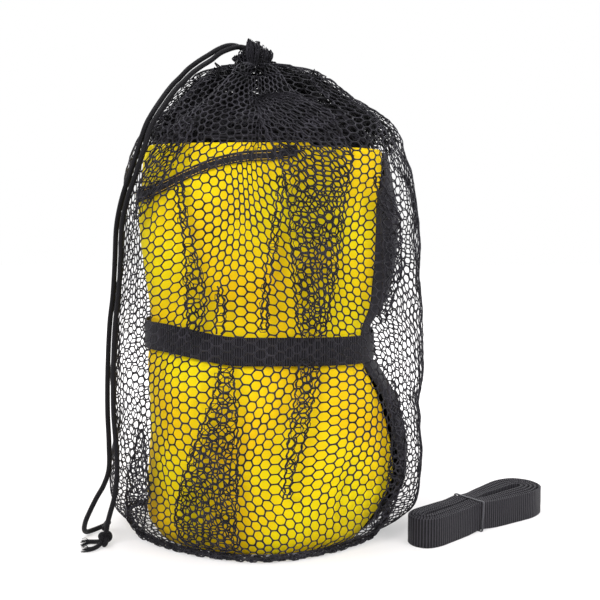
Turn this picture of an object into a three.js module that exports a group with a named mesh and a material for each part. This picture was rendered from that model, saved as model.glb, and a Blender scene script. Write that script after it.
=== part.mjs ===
// A volleyball net folded into a bundle and packed in a drawstring mesh bag, with its spare webbing
// strap folded into a hank beside it. Millimetres, +Z up, the front towards -Y, and the origin on the
// ground under the middle of the bag. The bag, the bundle and the strap are soft goods: each is a
// closed solid of the space it fills, and the bag is a thin shell round the bundle.
import * as THREE from "three";

// ---- Driving sizes -------------------------------------------------------------------------------
const TOUCH = 0.3; // gap between firm pieces that rest on each other
const LAYER_GAP = 0.8; // gap between layers of cloth, which bend between their points

// The folded net, measured from the bag's centre line at its fullest
const BUNDLE_HEIGHT = 366;
const BUNDLE_LEFT = 120;
const BUNDLE_RIGHT = 120;
const BUNDLE_FRONT = 82;
const BUNDLE_BACK = 80;
const BUNDLE_SQUARENESS = 3.5; // exponent of its rounded outline
const FOOT_SQUARENESS = 2.1; // rounder where it sits in the bag's base
const CLOTH = 2.0; // the yellow cloth band, doubled
const CORE_CROWN = 50; // how far the loose netting stands above the cloth
const LAPEL_DROP = 36.5; // how far the cloth's slanted edge falls towards the left
const BINDING_WIDTH = 8;
const BINDING_THICKNESS = 1.2;
const INNER_FOLD_DEPTH = 170; // how far the inner fold of cloth reaches down

// The wrap strap round the bundle's waist and its hook and loop closure at the back
const STRAP_WIDTH = 25.5;
const STRAP_THICKNESS = 1.8;
const STRAP_HEIGHT = 183; // middle of the strap at the front
const STRAP_RISE = 12; // it climbs this much towards the left
const STRAP_OVERLAP = 34; // degrees of the turn that its two ends share
const LOOP_PATCH_THICKNESS = 0.9;
const HOOK_PATCH_THICKNESS = 0.7;
const PATCH_MARGIN = 2.5;

// The mesh bag
const NET_WALL = 1.2;
const SLACK_LEFT = 29; // between the bundle and the bag at the bundle's fullest
const SLACK_RIGHT = 31;
const SLACK_FRONT = 5.2;
const SLACK_BACK = 13;
const BAG_SQUARENESS = 2.6;
const BASE_SQUARENESS = 1.72; // its base is more pointed, and lies further back
const BASE_SETBACK = 10;
const SHOULDER_RISE = 78; // from the bundle's top to the gathered neck
const NECK_CENTRE_X = -9.5;
const NECK_RADIUS = 17;
const SEAM_DIAMETER = 7.5; // the rolled seam round the base
const SEAM_FLAT = 0.8; // pressed flat where it stands
const BASE_INSET_LEFT = 14; // the seam lies this far inside the bag's lowest bulge
const BASE_INSET_RIGHT = 28;
const BASE_THICKNESS = 1.6;
const CORNER_LIFT = 9; // the base curls up this much at its two sides,
const LIFT_FROM = 0.82; // from this share of its reach outwards

// The gathered mouth above the neck
const GATHER_HEIGHT = 26;
const GATHER_FLUTES = 9;
const GATHER_BORE = 9.6;
const EXIT_DIP = 12; // the rim is lower where the cord leaves it

// The drawstring
const CORD_DIAMETER = 4.6;
const KNOT_WIDTH = 12;
const KNOT_HEIGHT = 15.5;
const MOUTH_LOOP_RADIUS = 6.6;

// The spare strap's hank, in its own frame: P runs along it from its left end, Q to its back
const HANK_ORIGIN = [138, -58]; // its left end on the ground
const HANK_TURN = 39.7; // degrees from +X
const HANK_LENGTH = 184;
const HANK_LEFT_WIDTH = 35;
const HANK_WAIST_WIDTH = 34;
const HANK_LOBE_WIDTH = 55;
const HANK_WAIST_AT = 0.43; // share of its length
const HANK_LOOPS = 5;
const HANK_LOOP_STEPS = 24;
const WEBBING_WIDTH = 27;
const WEBBING_THICKNESS = 2.4;
const WEBBING_GAP = 0.7;
const BAND_WIDTH = 2.2;
const BAND_THICKNESS = 1.2;

// ---- Shape helpers -------------------------------------------------------------------------------
const RAD = Math.PI / 180;
const clamp01 = (v) => Math.min(1, Math.max(0, v));
const ease = (v) => clamp01(v) * clamp01(v) * (3 - 2 * clamp01(v));
const mix = (a, b, t) => a + (b - a) * t;
const range = (count, make) => Array.from({ length: count }, (_, i) => make(i));
// Every layer of the bundle bends at the same angles, so that layers stay apart all the way round.
const ANGLE_STEP = 6;
function anglesBetween(from, to) {
  const [low, high] = [Math.min(from, to), Math.max(from, to)];
  const first = Math.ceil((low + 1) / ANGLE_STEP);
  const last = Math.floor((high - 1) / ANGLE_STEP);
  return [low, ...range(last - first + 1, (i) => (first + i) * ANGLE_STEP), high];
}

// A smooth curve through [place, value] pairs, flat beyond its two ends.
function profile(pairs) {
  const slope = (i) => {
    const a = pairs[Math.max(0, i - 1)];
    const b = pairs[Math.min(pairs.length - 1, i + 1)];
    return (b[1] - a[1]) / (b[0] - a[0]);
  };
  return (place) => {
    const last = pairs.length - 1;
    if (place <= pairs[0][0]) return pairs[0][1];
    if (place >= pairs[last][0]) return pairs[last][1];
    const i = pairs.findIndex((p) => p[0] > place) - 1;
    const width = pairs[i + 1][0] - pairs[i][0];
    const t = (place - pairs[i][0]) / width;
    const rise = pairs[i + 1][1] - pairs[i][1];
    const start = slope(i) * width;
    const end = slope(i + 1) * width;
    return (
      pairs[i][1] + t * start + t * t * (3 * rise - 2 * start - end) + t ** 3 * (start + end - 2 * rise)
    );
  };
}

// A closed surface from a grid of points: rows of equal length, each row a closed ring. The first and
// last rows are joined to each other (a shell's rim) or closed by a cap.
function ringSolid(rows, { caps }) {
  const around = rows[0].length;
  const points = rows.flat();
  const faces = [];
  const joined = caps ? rows.length - 1 : rows.length;
  for (let r = 0; r < joined; r++) {
    const next = (r + 1) % rows.length;
    for (let i = 0; i < around; i++) {
      const j = (i + 1) % around;
      const [a, b] = [r * around + i, r * around + j];
      const [c, d] = [next * around + i, next * around + j];
      faces.push(a, b, d, a, d, c);
    }
  }
  if (caps) {
    [0, rows.length - 1].forEach((r) => {
      const centre = rows[r].reduce((sum, p) => sum.add(p), new THREE.Vector3()).divideScalar(around);
      points.push(centre);
      for (let i = 0; i < around; i++) {
        const [a, b] = [r * around + i, r * around + ((i + 1) % around)];
        faces.push(...(r === 0 ? [points.length - 1, b, a] : [points.length - 1, a, b]));
      }
    });
  }
  return surface(points, faces);
}

// A sheet with two faces: outer and inner are grids of points of the same size.
function sheetSolid(outer, inner) {
  const rows = outer.map((row, r) => [...row, ...[...inner[r]].reverse()]);
  const half = outer[0].length;
  const around = rows[0].length;
  const points = rows.flat();
  const faces = [];
  for (let r = 0; r < rows.length - 1; r++) {
    for (let i = 0; i < around; i++) {
      const [a, b] = [r * around + i, r * around + ((i + 1) % around)];
      const [c, d] = [a + around, b + around];
      faces.push(a, b, d, a, d, c);
    }
  }
  [0, rows.length - 1].forEach((r) => {
    for (let i = 0; i < half - 1; i++) {
      const [a, b] = [r * around + i, r * around + i + 1];
      const [c, d] = [r * around + around - 1 - i, r * around + around - 2 - i];
      faces.push(...(r === 0 ? [a, d, b, a, c, d] : [a, b, d, a, d, c]));
    }
  });
  return surface(points, faces);
}

// A closed wall between two grids of closed rings, with a hole wherever open(row, column) says so. No
// two holes may share an edge or a corner.
function piercedWall(outer, inner, open) {
  const around = outer[0].length;
  const half = outer.length * around;
  const faces = [];
  const quad = (a, b, c, d) => faces.push(a, b, c, a, c, d);
  const wall = (a, b) => quad(a, b, b + half, a + half);
  range(outer.length - 1, (r) => range(around, (i) => {
    const j = (i + 1) % around;
    const [a, b, c, d] = [r * around + i, r * around + j, (r + 1) * around + j, (r + 1) * around + i];
    if (open(r, i)) {
      [[a, b], [b, c], [c, d], [d, a]].forEach(([p, q]) => wall(p, q));
      return;
    }
    quad(a, b, c, d);
    quad(a + half, d + half, c + half, b + half);
    if (r === 0) wall(b, a);
    if (r === outer.length - 2) wall(d, c);
  }));
  return surface([...outer.flat(), ...inner.flat()], faces);
}

// An indexed geometry that faces outwards whichever way its grid was walked.
function surface(points, faces) {
  let volume = 0;
  for (let i = 0; i < faces.length; i += 3) {
    const [a, b, c] = [points[faces[i]], points[faces[i + 1]], points[faces[i + 2]]];
    volume += a.dot(new THREE.Vector3().crossVectors(b, c));
  }
  if (volume < 0) {
    for (let i = 0; i < faces.length; i += 3) {
      [faces[i + 1], faces[i + 2]] = [faces[i + 2], faces[i + 1]];
    }
  }
  const geometry = new THREE.BufferGeometry().setFromPoints(points);
  geometry.setIndex(faces);
  geometry.computeVertexNormals();
  return geometry;
}

// A point of a rounded outline with its own reach to each side of a centre at x, y. Angle 0 is +X and
// 90 is the back.
function outlinePoint(angle, reach, squareness, z) {
  const [c, s] = [Math.cos(angle * RAD), Math.sin(angle * RAD)];
  const across = Math.sign(c) * Math.abs(c) ** (2 / squareness) * (c > 0 ? reach.right : reach.left);
  const along = Math.sign(s) * Math.abs(s) ** (2 / squareness) * (s > 0 ? reach.back : reach.front);
  return new THREE.Vector3(reach.x + across, reach.y + along, z);
}

const material = (color, roughness) => new THREE.MeshStandardMaterial({ color, roughness, metalness: 0 });
const YELLOW_CLOTH = material(0xfbd72d, 0.75);
const BLACK_CLOTH = material(0x424148, 0.85);
const BLACK_NET = material(0x1e1c20, 0.7);
const BLACK_WEBBING = material(0x2f2d32, 0.65);
const BLACK_CORD = material(0x2b2a2e, 0.7);

const part = new THREE.Group();
function add(name, geometry, look, parent = part) {
  const mesh = new THREE.Mesh(geometry, look);
  mesh.name = name;
  parent.add(mesh);
}

// ---- The bundle's outline ------------------------------------------------------------------------
// Each reach is a share of its fullest size, against height as a share of the bundle's. The strap
// draws the waist in, and the netting bulges on the right below and above it.
const STRAP_SHARE = STRAP_HEIGHT / BUNDLE_HEIGHT;
const leftShare = profile([[0, 0.885], [0.05, 0.972], [0.12, 0.966], [0.2, 0.953], [0.27, 0.938], [0.34, 0.936],
  [0.44, 0.946], [STRAP_SHARE, 0.937], [0.55, 0.922], [0.6, 0.928], [0.66, 0.95], [0.73, 0.975],
  [0.8, 0.992], [0.88, 1], [0.95, 0.985], [1, 0.962]]);
const rightShare = profile([[0, 0.8], [0.05, 0.93], [0.11, 1.035], [0.165, 1.083], [0.23, 1.092],
  [0.29, 1.07], [0.35, 1.02], [0.41, 0.945], [STRAP_SHARE - 0.045, 0.875], [STRAP_SHARE + 0.045, 0.868],
  [0.6, 0.93], [0.66, 0.965], [0.73, 0.99], [0.82, 1], [0.93, 0.99], [1, 0.975]]);
const frontShare = profile([[0, 1.02], [0.04, 1.09], [0.12, 1.11], [0.22, 1.095], [0.35, 1.01],
  [STRAP_SHARE - 0.045, 0.918], [STRAP_SHARE + 0.07, 0.92], [0.7, 0.98], [0.84, 1], [0.95, 0.98],
  [1, 0.94]]);
const backShare = profile([[0, 0.94], [0.14, 1.05], [0.3, 1.03], [STRAP_SHARE - 0.05, 0.922],
  [STRAP_SHARE + 0.08, 0.922], [0.7, 1], [0.9, 0.99], [1, 0.95]]);

function bundleReach(z, offset) {
  const share = z / BUNDLE_HEIGHT;
  return {
    x: 0,
    y: 0,
    left: BUNDLE_LEFT * leftShare(share) + offset,
    right: BUNDLE_RIGHT * rightShare(share) + offset,
    front: BUNDLE_FRONT * frontShare(share) + offset,
    back: BUNDLE_BACK * backShare(share) + offset,
  };
}
const bundleSquareness = (z) => mix(FOOT_SQUARENESS, BUNDLE_SQUARENESS, ease(z / BUNDLE_HEIGHT / 0.24));
const bundlePoint = (angle, z, offset) =>
  outlinePoint(angle, bundleReach(z, offset), bundleSquareness(z), z);

// The layers of the bundle from outside in, as offsets from its outline
const BINDING_OUTSIDE = -LAYER_GAP;
const WRAP_OUTSIDE = BINDING_OUTSIDE - BINDING_THICKNESS - LAYER_GAP;
const WRAP_INSIDE = WRAP_OUTSIDE - CLOTH;
const FOLD_OUTSIDE = WRAP_INSIDE - LAYER_GAP;
const FOLD_INSIDE = FOLD_OUTSIDE - CLOTH;
const CORE_OUTSIDE = FOLD_INSIDE - LAYER_GAP;
const BUNDLE_FOOT = BASE_THICKNESS + TOUCH;

// Every layer bends at the same heights too, but for the last rows under a slanted edge.
const WAIST_SHARE = (STRAP_WIDTH / 2 + 3.7) / BUNDLE_HEIGHT; // rows this far to each side of the strap
const HEIGHT_SHARES = [0.05, 0.11, 0.19, 0.29, 0.38, STRAP_SHARE - WAIST_SHARE,
  STRAP_SHARE + WAIST_SHARE, 0.62, 0.72, 0.82, 0.91];
const LEAST_ROW = 4;
function layerHeights(foot, top) {
  const inside = HEIGHT_SHARES.map((share) => share * BUNDLE_HEIGHT).filter((z) => z > foot + LEAST_ROW);
  const rows = [foot, ...inside, BUNDLE_HEIGHT];
  return rows.map((z, j) => Math.min(z, top - (rows.length - 1 - j) * LEAST_ROW));
}

// A curved sheet on the bundle between two angles, from a level foot up to top(angle).
// The end that meets the slanted front edge follows that edge: edge(angle, z) is its own angle there.
function bundleSheet({ from, to, foot, top, outside, thickness, edge = (angle) => angle }) {
  const grid = (offset) =>
    anglesBetween(from, to).map((angle) =>
      layerHeights(foot, top(angle)).map((z) => bundlePoint(edge(angle, z), z, offset)),
    );
  return sheetSolid(grid(outside), grid(outside - thickness));
}

// ---- The bundle's pieces -------------------------------------------------------------------------
// Angles where the cloth wrap ends, at the bundle's right front and right back corners
const WRAP_FRONT_EDGE = -38;
// The front edge wanders forward of that towards its foot and its top, by this many degrees.
const edgeShift = profile([[0, 11], [0.1, 10], [0.17, 12], [0.27, 8], [0.42, 7.5], [0.46, 5], [0.5, 2.5],
  [0.6, 2.5], [0.68, 0], [0.82, 0], [0.88, 4], [0.93, 11], [1, 16]]);
const EDGE_BLEND = 24; // degrees each side of the edge over which the cloth's columns shift with it
const WRAP_BACK_EDGE = 46;
const SLEEVE_MARGIN = 1.2; // degrees between the wrap's edges and the sleeve's
const LAPEL_START = -84; // the slanted edge begins here, at the middle of the front
const LAPEL_END = -176;
const LAPEL_BLEND = 70; // degrees past its end over which the edge climbs back
const FOLD_PAST_START = 6; // degrees by which the inner fold reaches past the slanted edge's two ends
const FOLD_PAST_END = 10;
const SLEEVE_DROP = 6; // the sleeve ends this far below the bundle's top

const fullTurn = (angle) => (angle > 0 ? angle - 360 : angle);
const lapelProfile = profile([[LAPEL_END - LAPEL_BLEND, 0], [-214, 0.7], [LAPEL_END, 0.985], [-158, 1],
  [-146, 0.96], [-134, 0.89], [-122, 0.755], [-110, 0.535], [-98, 0.275], [LAPEL_START, 0]]);
const lapelShare = (angle) => lapelProfile(fullTurn(angle));
// Columns near the wrap's front edge shift with it, so that wrap and sleeve keep their gap.
const followEdge = (angle, z) => {
  const away = Math.abs(angle - WRAP_FRONT_EDGE) / EDGE_BLEND;
  return angle + edgeShift(z / BUNDLE_HEIGHT) * (1 - ease(away));
};
const WRAP_BELOW_TOP = 4;
const wrapTop = (angle) => BUNDLE_HEIGHT - WRAP_BELOW_TOP - LAPEL_DROP * lapelShare(angle);

add("yellow_band_wrap", bundleSheet({
  from: WRAP_FRONT_EDGE,
  to: WRAP_BACK_EDGE - 360,
  foot: BUNDLE_FOOT,
  top: wrapTop,
  outside: WRAP_OUTSIDE,
  thickness: CLOTH,
  edge: followEdge,
}), YELLOW_CLOTH);

add("yellow_band_inner_fold", bundleSheet({
  from: LAPEL_START + FOLD_PAST_START,
  to: LAPEL_END - FOLD_PAST_END,
  foot: BUNDLE_HEIGHT - INNER_FOLD_DEPTH,
  top: () => BUNDLE_HEIGHT,
  outside: FOLD_OUTSIDE,
  thickness: CLOTH,
}), YELLOW_CLOTH);

// The tape is measured upright, so it is taller where the edge slants most.
const tapeHeight = (angle) => BINDING_WIDTH * mix(1, 1.3, ease((-95 - angle) / 60));
const bindingGrid = (offset) =>
  anglesBetween(LAPEL_START, LAPEL_END).map((angle) =>
    [wrapTop(angle) - tapeHeight(angle), wrapTop(angle)].map((z) => bundlePoint(angle, z, offset)),
  );
add("black_edge_binding",
  sheetSolid(bindingGrid(BINDING_OUTSIDE), bindingGrid(BINDING_OUTSIDE - BINDING_THICKNESS)), BLACK_CLOTH);

add("side_sleeve_fold", bundleSheet({
  from: WRAP_BACK_EDGE - SLEEVE_MARGIN,
  to: WRAP_FRONT_EDGE + SLEEVE_MARGIN,
  foot: BUNDLE_FOOT,
  top: () => BUNDLE_HEIGHT - SLEEVE_DROP,
  outside: WRAP_OUTSIDE,
  thickness: CLOTH,
  edge: followEdge,
}), BLACK_CLOTH);

// The folded netting fills the wrap and stands above it in a loose crown.
const CROWN_STATIONS = 6;
const CROWN_BELOW = 8;
const CORE_EDGE = BUNDLE_HEIGHT - CROWN_BELOW; // where the crown begins
const coreRing = (z, reach) =>
  range(360 / ANGLE_STEP, (i) => outlinePoint(i * ANGLE_STEP, reach, bundleSquareness(z), z));
const coreRows = [
  ...layerHeights(BUNDLE_FOOT, CORE_EDGE).map((z) => coreRing(z, bundleReach(z, CORE_OUTSIDE))),
  ...range(CROWN_STATIONS, (i) => {
    const rise = (i + 1) / CROWN_STATIONS;
    const share = mix(0.16, 1, Math.sqrt(1 - rise * rise)) - 0.04;
    const reach = bundleReach(CORE_EDGE, CORE_OUTSIDE);
    const crownReach = {
      x: NECK_CENTRE_X * rise,
      y: 0,
      left: reach.left * share,
      right: reach.right * share,
      front: reach.front * share,
      back: reach.back * share,
    };
    return coreRing(mix(CORE_EDGE, BUNDLE_HEIGHT + CORE_CROWN, rise), crownReach);
  }),
];
add("folded_netting_core", ringSolid(coreRows, { caps: true }), BLACK_NET);

// ---- The wrap strap and its closure --------------------------------------------------------------
const CLOSURE_START = 62; // degrees: the strap's covered end, at the back
const PATCH_OFFSET = STRAP_THICKNESS + TOUCH;
const HOOK_OFFSET = PATCH_OFFSET + LOOP_PATCH_THICKNESS + TOUCH;
const LAP_OFFSET = HOOK_OFFSET + HOOK_PATCH_THICKNESS + TOUCH;
const LAP_RAMP = 26; // degrees over which the free end climbs onto the patches

const strapMiddle = (angle) => {
  const x = bundlePoint(angle, STRAP_HEIGHT, 0).x;
  return STRAP_HEIGHT + STRAP_RISE * ease((-x - 15) / 85);
};
// A strip on the strap's line: lift(angle) is its inner face's offset from the bundle.
function strapStrip({ from, to, lift, thickness, width }) {
  const grid = (extra) =>
    anglesBetween(from, to).map((angle) => {
      return [-0.5, 0, 0.5].map((v) => {
        const middle = strapMiddle(angle);
        const inner = bundleReach(middle, lift(angle) + extra);
        return outlinePoint(angle, inner, BUNDLE_SQUARENESS, middle + v * width);
      });
    });
  return sheetSolid(grid(thickness), grid(0));
}
const STRAP_SEAT = strapSeat();
// The strap is straight across its width, so it sits proud of the bundle where that swells.
function strapSeat() {
  let seat = 0;
  range(72, (i) => i * 5).forEach((angle) => {
    const middle = strapMiddle(angle);
    const own = bundleReach(middle, 0);
    [-0.5, 0.5].forEach((v) => {
      const there = bundleReach(middle + v * STRAP_WIDTH, 0);
      ["left", "right", "front", "back"].forEach((side) => {
        seat = Math.max(seat, there[side] - own[side]);
      });
    });
  });
  return seat;
}
const STRAP_SETTLE = 1.15; // the layers' straight facets let it sit this much lower
const STRAP_INSIDE = STRAP_SEAT + WRAP_OUTSIDE + TOUCH - STRAP_SETTLE; // its inner face, just off the cloth

add("wrap_strap", strapStrip({
  from: CLOSURE_START,
  to: CLOSURE_START + 360 + STRAP_OVERLAP,
  lift: (angle) => STRAP_INSIDE + LAP_OFFSET * ease((angle - CLOSURE_START - 360 + LAP_RAMP) / LAP_RAMP),
  thickness: STRAP_THICKNESS,
  width: STRAP_WIDTH,
}), BLACK_WEBBING);

const patch = (offset, thickness) => strapStrip({
  from: CLOSURE_START + PATCH_MARGIN,
  to: CLOSURE_START + STRAP_OVERLAP - PATCH_MARGIN,
  lift: () => STRAP_INSIDE + offset,
  thickness,
  width: STRAP_WIDTH - 2 * PATCH_MARGIN,
});
add("strap_loop_patch", patch(PATCH_OFFSET, LOOP_PATCH_THICKNESS), BLACK_CLOTH);
add("strap_hook_patch", patch(HOOK_OFFSET, HOOK_PATCH_THICKNESS), BLACK_CLOTH);

// ---- The mesh bag --------------------------------------------------------------------------------
// Slack between bag and bundle, as a share of its full value against the bundle's height
const slackLeft = profile([[0, 0.95], [0.06, 1.08], [0.11, 1.2], [0.17, 1.12], [0.22, 1.07], [0.27, 1],
  [0.34, 1.04], [0.42, 1.03], [0.5, 1.01], [0.56, 1.02], [0.63, 0.86], [0.72, 0.61], [0.82, 0.45],
  [0.92, 0.3], [1, 0.2]]);
const slackRight = profile([[0, 0.9], [0.06, 1.05], [0.11, 0.85], [0.17, 0.67], [0.22, 0.6], [0.27, 0.57],
  [0.31, 0.64], [0.345, 0.7], [0.39, 1.0], [0.45, 1.41], [0.5, 1.49], [0.56, 1.36], [0.63, 1.04],
  [0.72, 0.84], [0.82, 0.75], [0.92, 0.6], [1, 0.43]]);
const slackFront = profile([[0, 1.1], [0.06, 1.3], [0.3, 1.1], [1, 1]]);
const slackBack = profile([[0, 1.0], [0.12, 1.2], [0.3, 1.1], [0.6, 1.1], [1, 0.9]]);

// The net has a plain grid of openings; its bars, the seam and the base bend at the same angles.
const NET_OPENINGS = 20; // in each row, all the way round
const FRONT_BAR = 267; // degrees: a bar, and a fold above it, stand near the middle of the front
const BAR_SHARE = 0.31; // of the way from one opening to the next
const pitch = 360 / NET_OPENINGS;
const netAngles = range(NET_OPENINGS, (k) => {
  const bar = FRONT_BAR - 360 + k * pitch;
  return [bar - (pitch * BAR_SHARE) / 2, bar + (pitch * BAR_SHARE) / 2];
}).flat();
const aroundNet = (make) => netAngles.map(make);

const upFromBase = (z) => ease((z / BUNDLE_HEIGHT - 0.06) / 0.26);
const bagSquareness = (z) => mix(BASE_SQUARENESS, BAG_SQUARENESS, upFromBase(z));
function bagReach(z) {
  const share = z / BUNDLE_HEIGHT;
  const bundle = bundleReach(z, STRAP_SEAT);
  const setback = BASE_SETBACK * (1 - upFromBase(z));
  return {
    x: 0,
    y: setback,
    left: bundle.left + SLACK_LEFT * slackLeft(share),
    right: bundle.right + SLACK_RIGHT * slackRight(share),
    front: bundle.front + SLACK_FRONT * slackFront(share) + setback,
    back: bundle.back + LAP_OFFSET + STRAP_THICKNESS + SLACK_BACK * slackBack(share) - setback,
  };
}

// The base: its corners curl up at the two sides, and it is flat where it stands.
const lowBulge = bagReach(BUNDLE_HEIGHT * 0.06);
const baseReach = {
  x: 0,
  y: BASE_SETBACK,
  left: lowBulge.left - BASE_INSET_LEFT,
  right: lowBulge.right - BASE_INSET_RIGHT,
  front: lowBulge.front - SEAM_DIAMETER / 2,
  back: lowBulge.back - SEAM_DIAMETER / 2,
};
const baseLift = (x) => {
  const reach = x > 0 ? baseReach.right : baseReach.left;
  return CORNER_LIFT * ease((Math.abs(x) / reach - LIFT_FROM) / (1 - LIFT_FROM));
};
const drawnIn = (reach, inward) => ({
  x: reach.x,
  y: reach.y,
  left: reach.left - inward,
  right: reach.right - inward,
  front: reach.front - inward,
  back: reach.back - inward,
});
const basePoint = (angle, inward, height) => {
  const point = outlinePoint(angle, drawnIn(baseReach, inward), BASE_SQUARENESS, height);
  point.z += baseLift(point.x);
  return point;
};

const SEAM_SIDES = 8;
const seamRows = range(SEAM_SIDES, (k) => {
  const turn = (k + 0.5) * (360 / SEAM_SIDES) * RAD;
  const radius = SEAM_DIAMETER / 2;
  const height = Math.max(0, radius + radius * Math.sin(turn) - SEAM_FLAT);
  return aroundNet((angle) => basePoint(angle, -radius * Math.cos(turn), height));
});
add("base_seam", ringSolid(seamRows, { caps: false }), BLACK_NET);

const panelInset = SEAM_DIAMETER / 2 + TOUCH;
const panelRing = (share, height) =>
  aroundNet((angle) => {
    const rim = basePoint(angle, panelInset, 0);
    const point = new THREE.Vector3(rim.x * share, mix(BASE_SETBACK, rim.y, share), height);
    point.z += baseLift(point.x);
    return point;
  });
const PANEL_SHARES = [0.5, 0.83, 0.92, 1];
add("base_panel", ringSolid([
  ...PANEL_SHARES.map((share) => panelRing(share, 0)),
  ...[...PANEL_SHARES].reverse().map((share) => panelRing(share, BASE_THICKNESS)),
], { caps: true }), BLACK_NET);

// The shell stands on the seam, swells past it, follows the bundle, and draws in to the neck. A plain
// grid of openings stands for its knitted holes, with bars between them both ways.
const NECK_HEIGHT = BUNDLE_HEIGHT + SHOULDER_RISE;
const SEAM_TOP = SEAM_DIAMETER - SEAM_FLAT;
const BAR_HALF_HEIGHT = 0.011; // of the bundle's height
const LOW_RING = 0.06;
const BAR_SHARES = [0.085, 0.17, 0.25, 0.335, 0.42, 0.5, 0.585, 0.67, 0.755, 0.84, 0.925];
const barRows = BAR_SHARES.flatMap((bar) => [bar - BAR_HALF_HEIGHT, bar + BAR_HALF_HEIGHT]);
const BODY_SHARES = [LOW_RING, ...barRows, 1];
const SHOULDER = [ // height, then how far the left and the right side have drawn in to the neck, as shares
  [0.1, 0.02, 0.025], [0.34, 0.124, 0.104], [0.45, 0.195, 0.179], [0.68, 0.38, 0.376],
  [0.85, 0.533, 0.525], [0.94, 0.66, 0.68], [0.985, 0.84, 0.86], [1, 1, 1],
];
// The shoulder's folds: every second bar sinks in, by this share of the reach at each shoulder row
const FOLD_SHARES = [0.02, 0.04, 0.05, 0.09, 0.14, 0.15, 0.06, 0];
const folded = (i) => (Math.floor(i / 2) % 2 === 0 ? 1 : 0);
const shellRing = (z, reach, inward, squareness, fold) =>
  aroundNet((angle, i) =>
    outlinePoint(angle, scaled(drawnIn(reach, inward), 1 - fold * folded(i)), squareness, z),
  );
const scaled = (reach, share) => ({
  x: reach.x,
  y: reach.y,
  left: reach.left * share,
  right: reach.right * share,
  front: reach.front * share,
  back: reach.back * share,
});
function shellRows(inward) {
  const foot = aroundNet((angle) => basePoint(angle, inward - NET_WALL / 2, SEAM_TOP + TOUCH));
  const body = BODY_SHARES.map((share) => share * BUNDLE_HEIGHT).map((z) =>
    shellRing(z, bagReach(z), inward, bagSquareness(z), 0),
  );
  const top = bagReach(BUNDLE_HEIGHT);
  const shoulder = SHOULDER.map(([rise, leftPull, rightPull], row) => {
    const round = mix(BAG_SQUARENESS, 2, rise);
    const pull = (leftPull + rightPull) / 2;
    const toNeck = (side, share) => mix(top[side], NECK_RADIUS, share);
    const reach = {
      x: NECK_CENTRE_X * pull,
      y: 0,
      left: toNeck("left", leftPull),
      right: toNeck("right", rightPull),
      front: toNeck("front", pull),
      back: toNeck("back", pull),
    };
    const z = BUNDLE_HEIGHT + SHOULDER_RISE * rise - inward;
    return shellRing(z, reach, inward, round, FOLD_SHARES[row]);
  });
  return [foot, ...body, ...shoulder];
}
// Openings lie between the bars' rows, and between the bars of each row.
const FIRST_OPEN_ROW = 3;
const LAST_OPEN_ROW = FIRST_OPEN_ROW + 2 * (BAR_SHARES.length + 1);
const isOpen = (row, i) =>
  row >= FIRST_OPEN_ROW && row <= LAST_OPEN_ROW && (row - FIRST_OPEN_ROW) % 2 === 0 && i % 2 === 1;
add("bag_net", piercedWall(shellRows(0), shellRows(NET_WALL), isOpen), BLACK_NET);

// ---- The gathered mouth --------------------------------------------------------------------------
const GATHER_FOOT = NECK_HEIGHT + TOUCH;
const GATHER_AROUND = GATHER_FLUTES * 4;
const rimHeight = (angle) => {
  const fromExit = Math.abs(angle - 180) / 60;
  const slant = 8 * ease((Math.cos(angle * RAD) + 0.2) / 1.2);
  return GATHER_HEIGHT - EXIT_DIP * ease(1.35 - fromExit) - slant;
};
function gatherRing(share, bore) {
  return range(GATHER_AROUND, (i) => {
    const angle = (360 * i) / GATHER_AROUND;
    const flute = 1 + 0.11 * Math.cos(GATHER_FLUTES * angle * RAD);
    const swell = NECK_RADIUS * flute * mix(0.9, 1, ease(share * 1.6)) * mix(1, 0.88, ease(share * 2 - 1));
    const radius = bore ? GATHER_BORE : swell;
    return new THREE.Vector3(
      NECK_CENTRE_X + radius * Math.cos(angle * RAD),
      radius * Math.sin(angle * RAD),
      GATHER_FOOT + share * rimHeight(angle),
    );
  });
}
const GATHER_SHARES = [0, 0.3, 0.6, 0.85, 1];
add("mouth_gather", ringSolid([
  ...GATHER_SHARES.map((share) => gatherRing(share, false)),
  ...[...GATHER_SHARES].reverse().map((share) => gatherRing(share, true)),
], { caps: false }), BLACK_NET);

// ---- The drawstring ------------------------------------------------------------------------------
const CORD_SIDES = 8;
function cordTube(route, steps) {
  const section = new THREE.Shape(
    range(CORD_SIDES, (k) => {
      const turn = (k * 2 * Math.PI) / CORD_SIDES;
      const radius = CORD_DIAMETER / 2;
      return new THREE.Vector2(radius * Math.cos(turn), radius * Math.sin(turn));
    }),
  );
  const path = new THREE.CatmullRomCurve3(route.map((p) => new THREE.Vector3(...p)));
  return new THREE.ExtrudeGeometry(section, { steps, bevelEnabled: false, extrudePath: path });
}

// Threaded through the gathered mouth: round inside it, with both ends towards the exit.
const LOOP_HEIGHT = GATHER_FOOT + GATHER_HEIGHT - EXIT_DIP + CORD_DIAMETER / 2 + TOUCH;
const LOOP_TURN = 72; // degrees from the exit at which each end leaves the circle
const LOOP_STEPS = 6;
const loopEnd = (side) => [
  [NECK_CENTRE_X - 7.7, side * 2.8, LOOP_HEIGHT],
  [NECK_CENTRE_X - 5.3, side * 3.5, LOOP_HEIGHT],
];
const loopCircle = range(LOOP_STEPS + 1, (i) => {
  const angle = mix(180 + LOOP_TURN, 540 - LOOP_TURN, i / LOOP_STEPS) * RAD;
  return [
    NECK_CENTRE_X + MOUTH_LOOP_RADIUS * Math.cos(angle),
    MOUTH_LOOP_RADIUS * Math.sin(angle),
    LOOP_HEIGHT,
  ];
});
add("drawstring_mouth_loop", cordTube(
  [...loopEnd(-1), ...loopCircle, ...loopEnd(1).reverse()], 16), BLACK_CORD);

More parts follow.
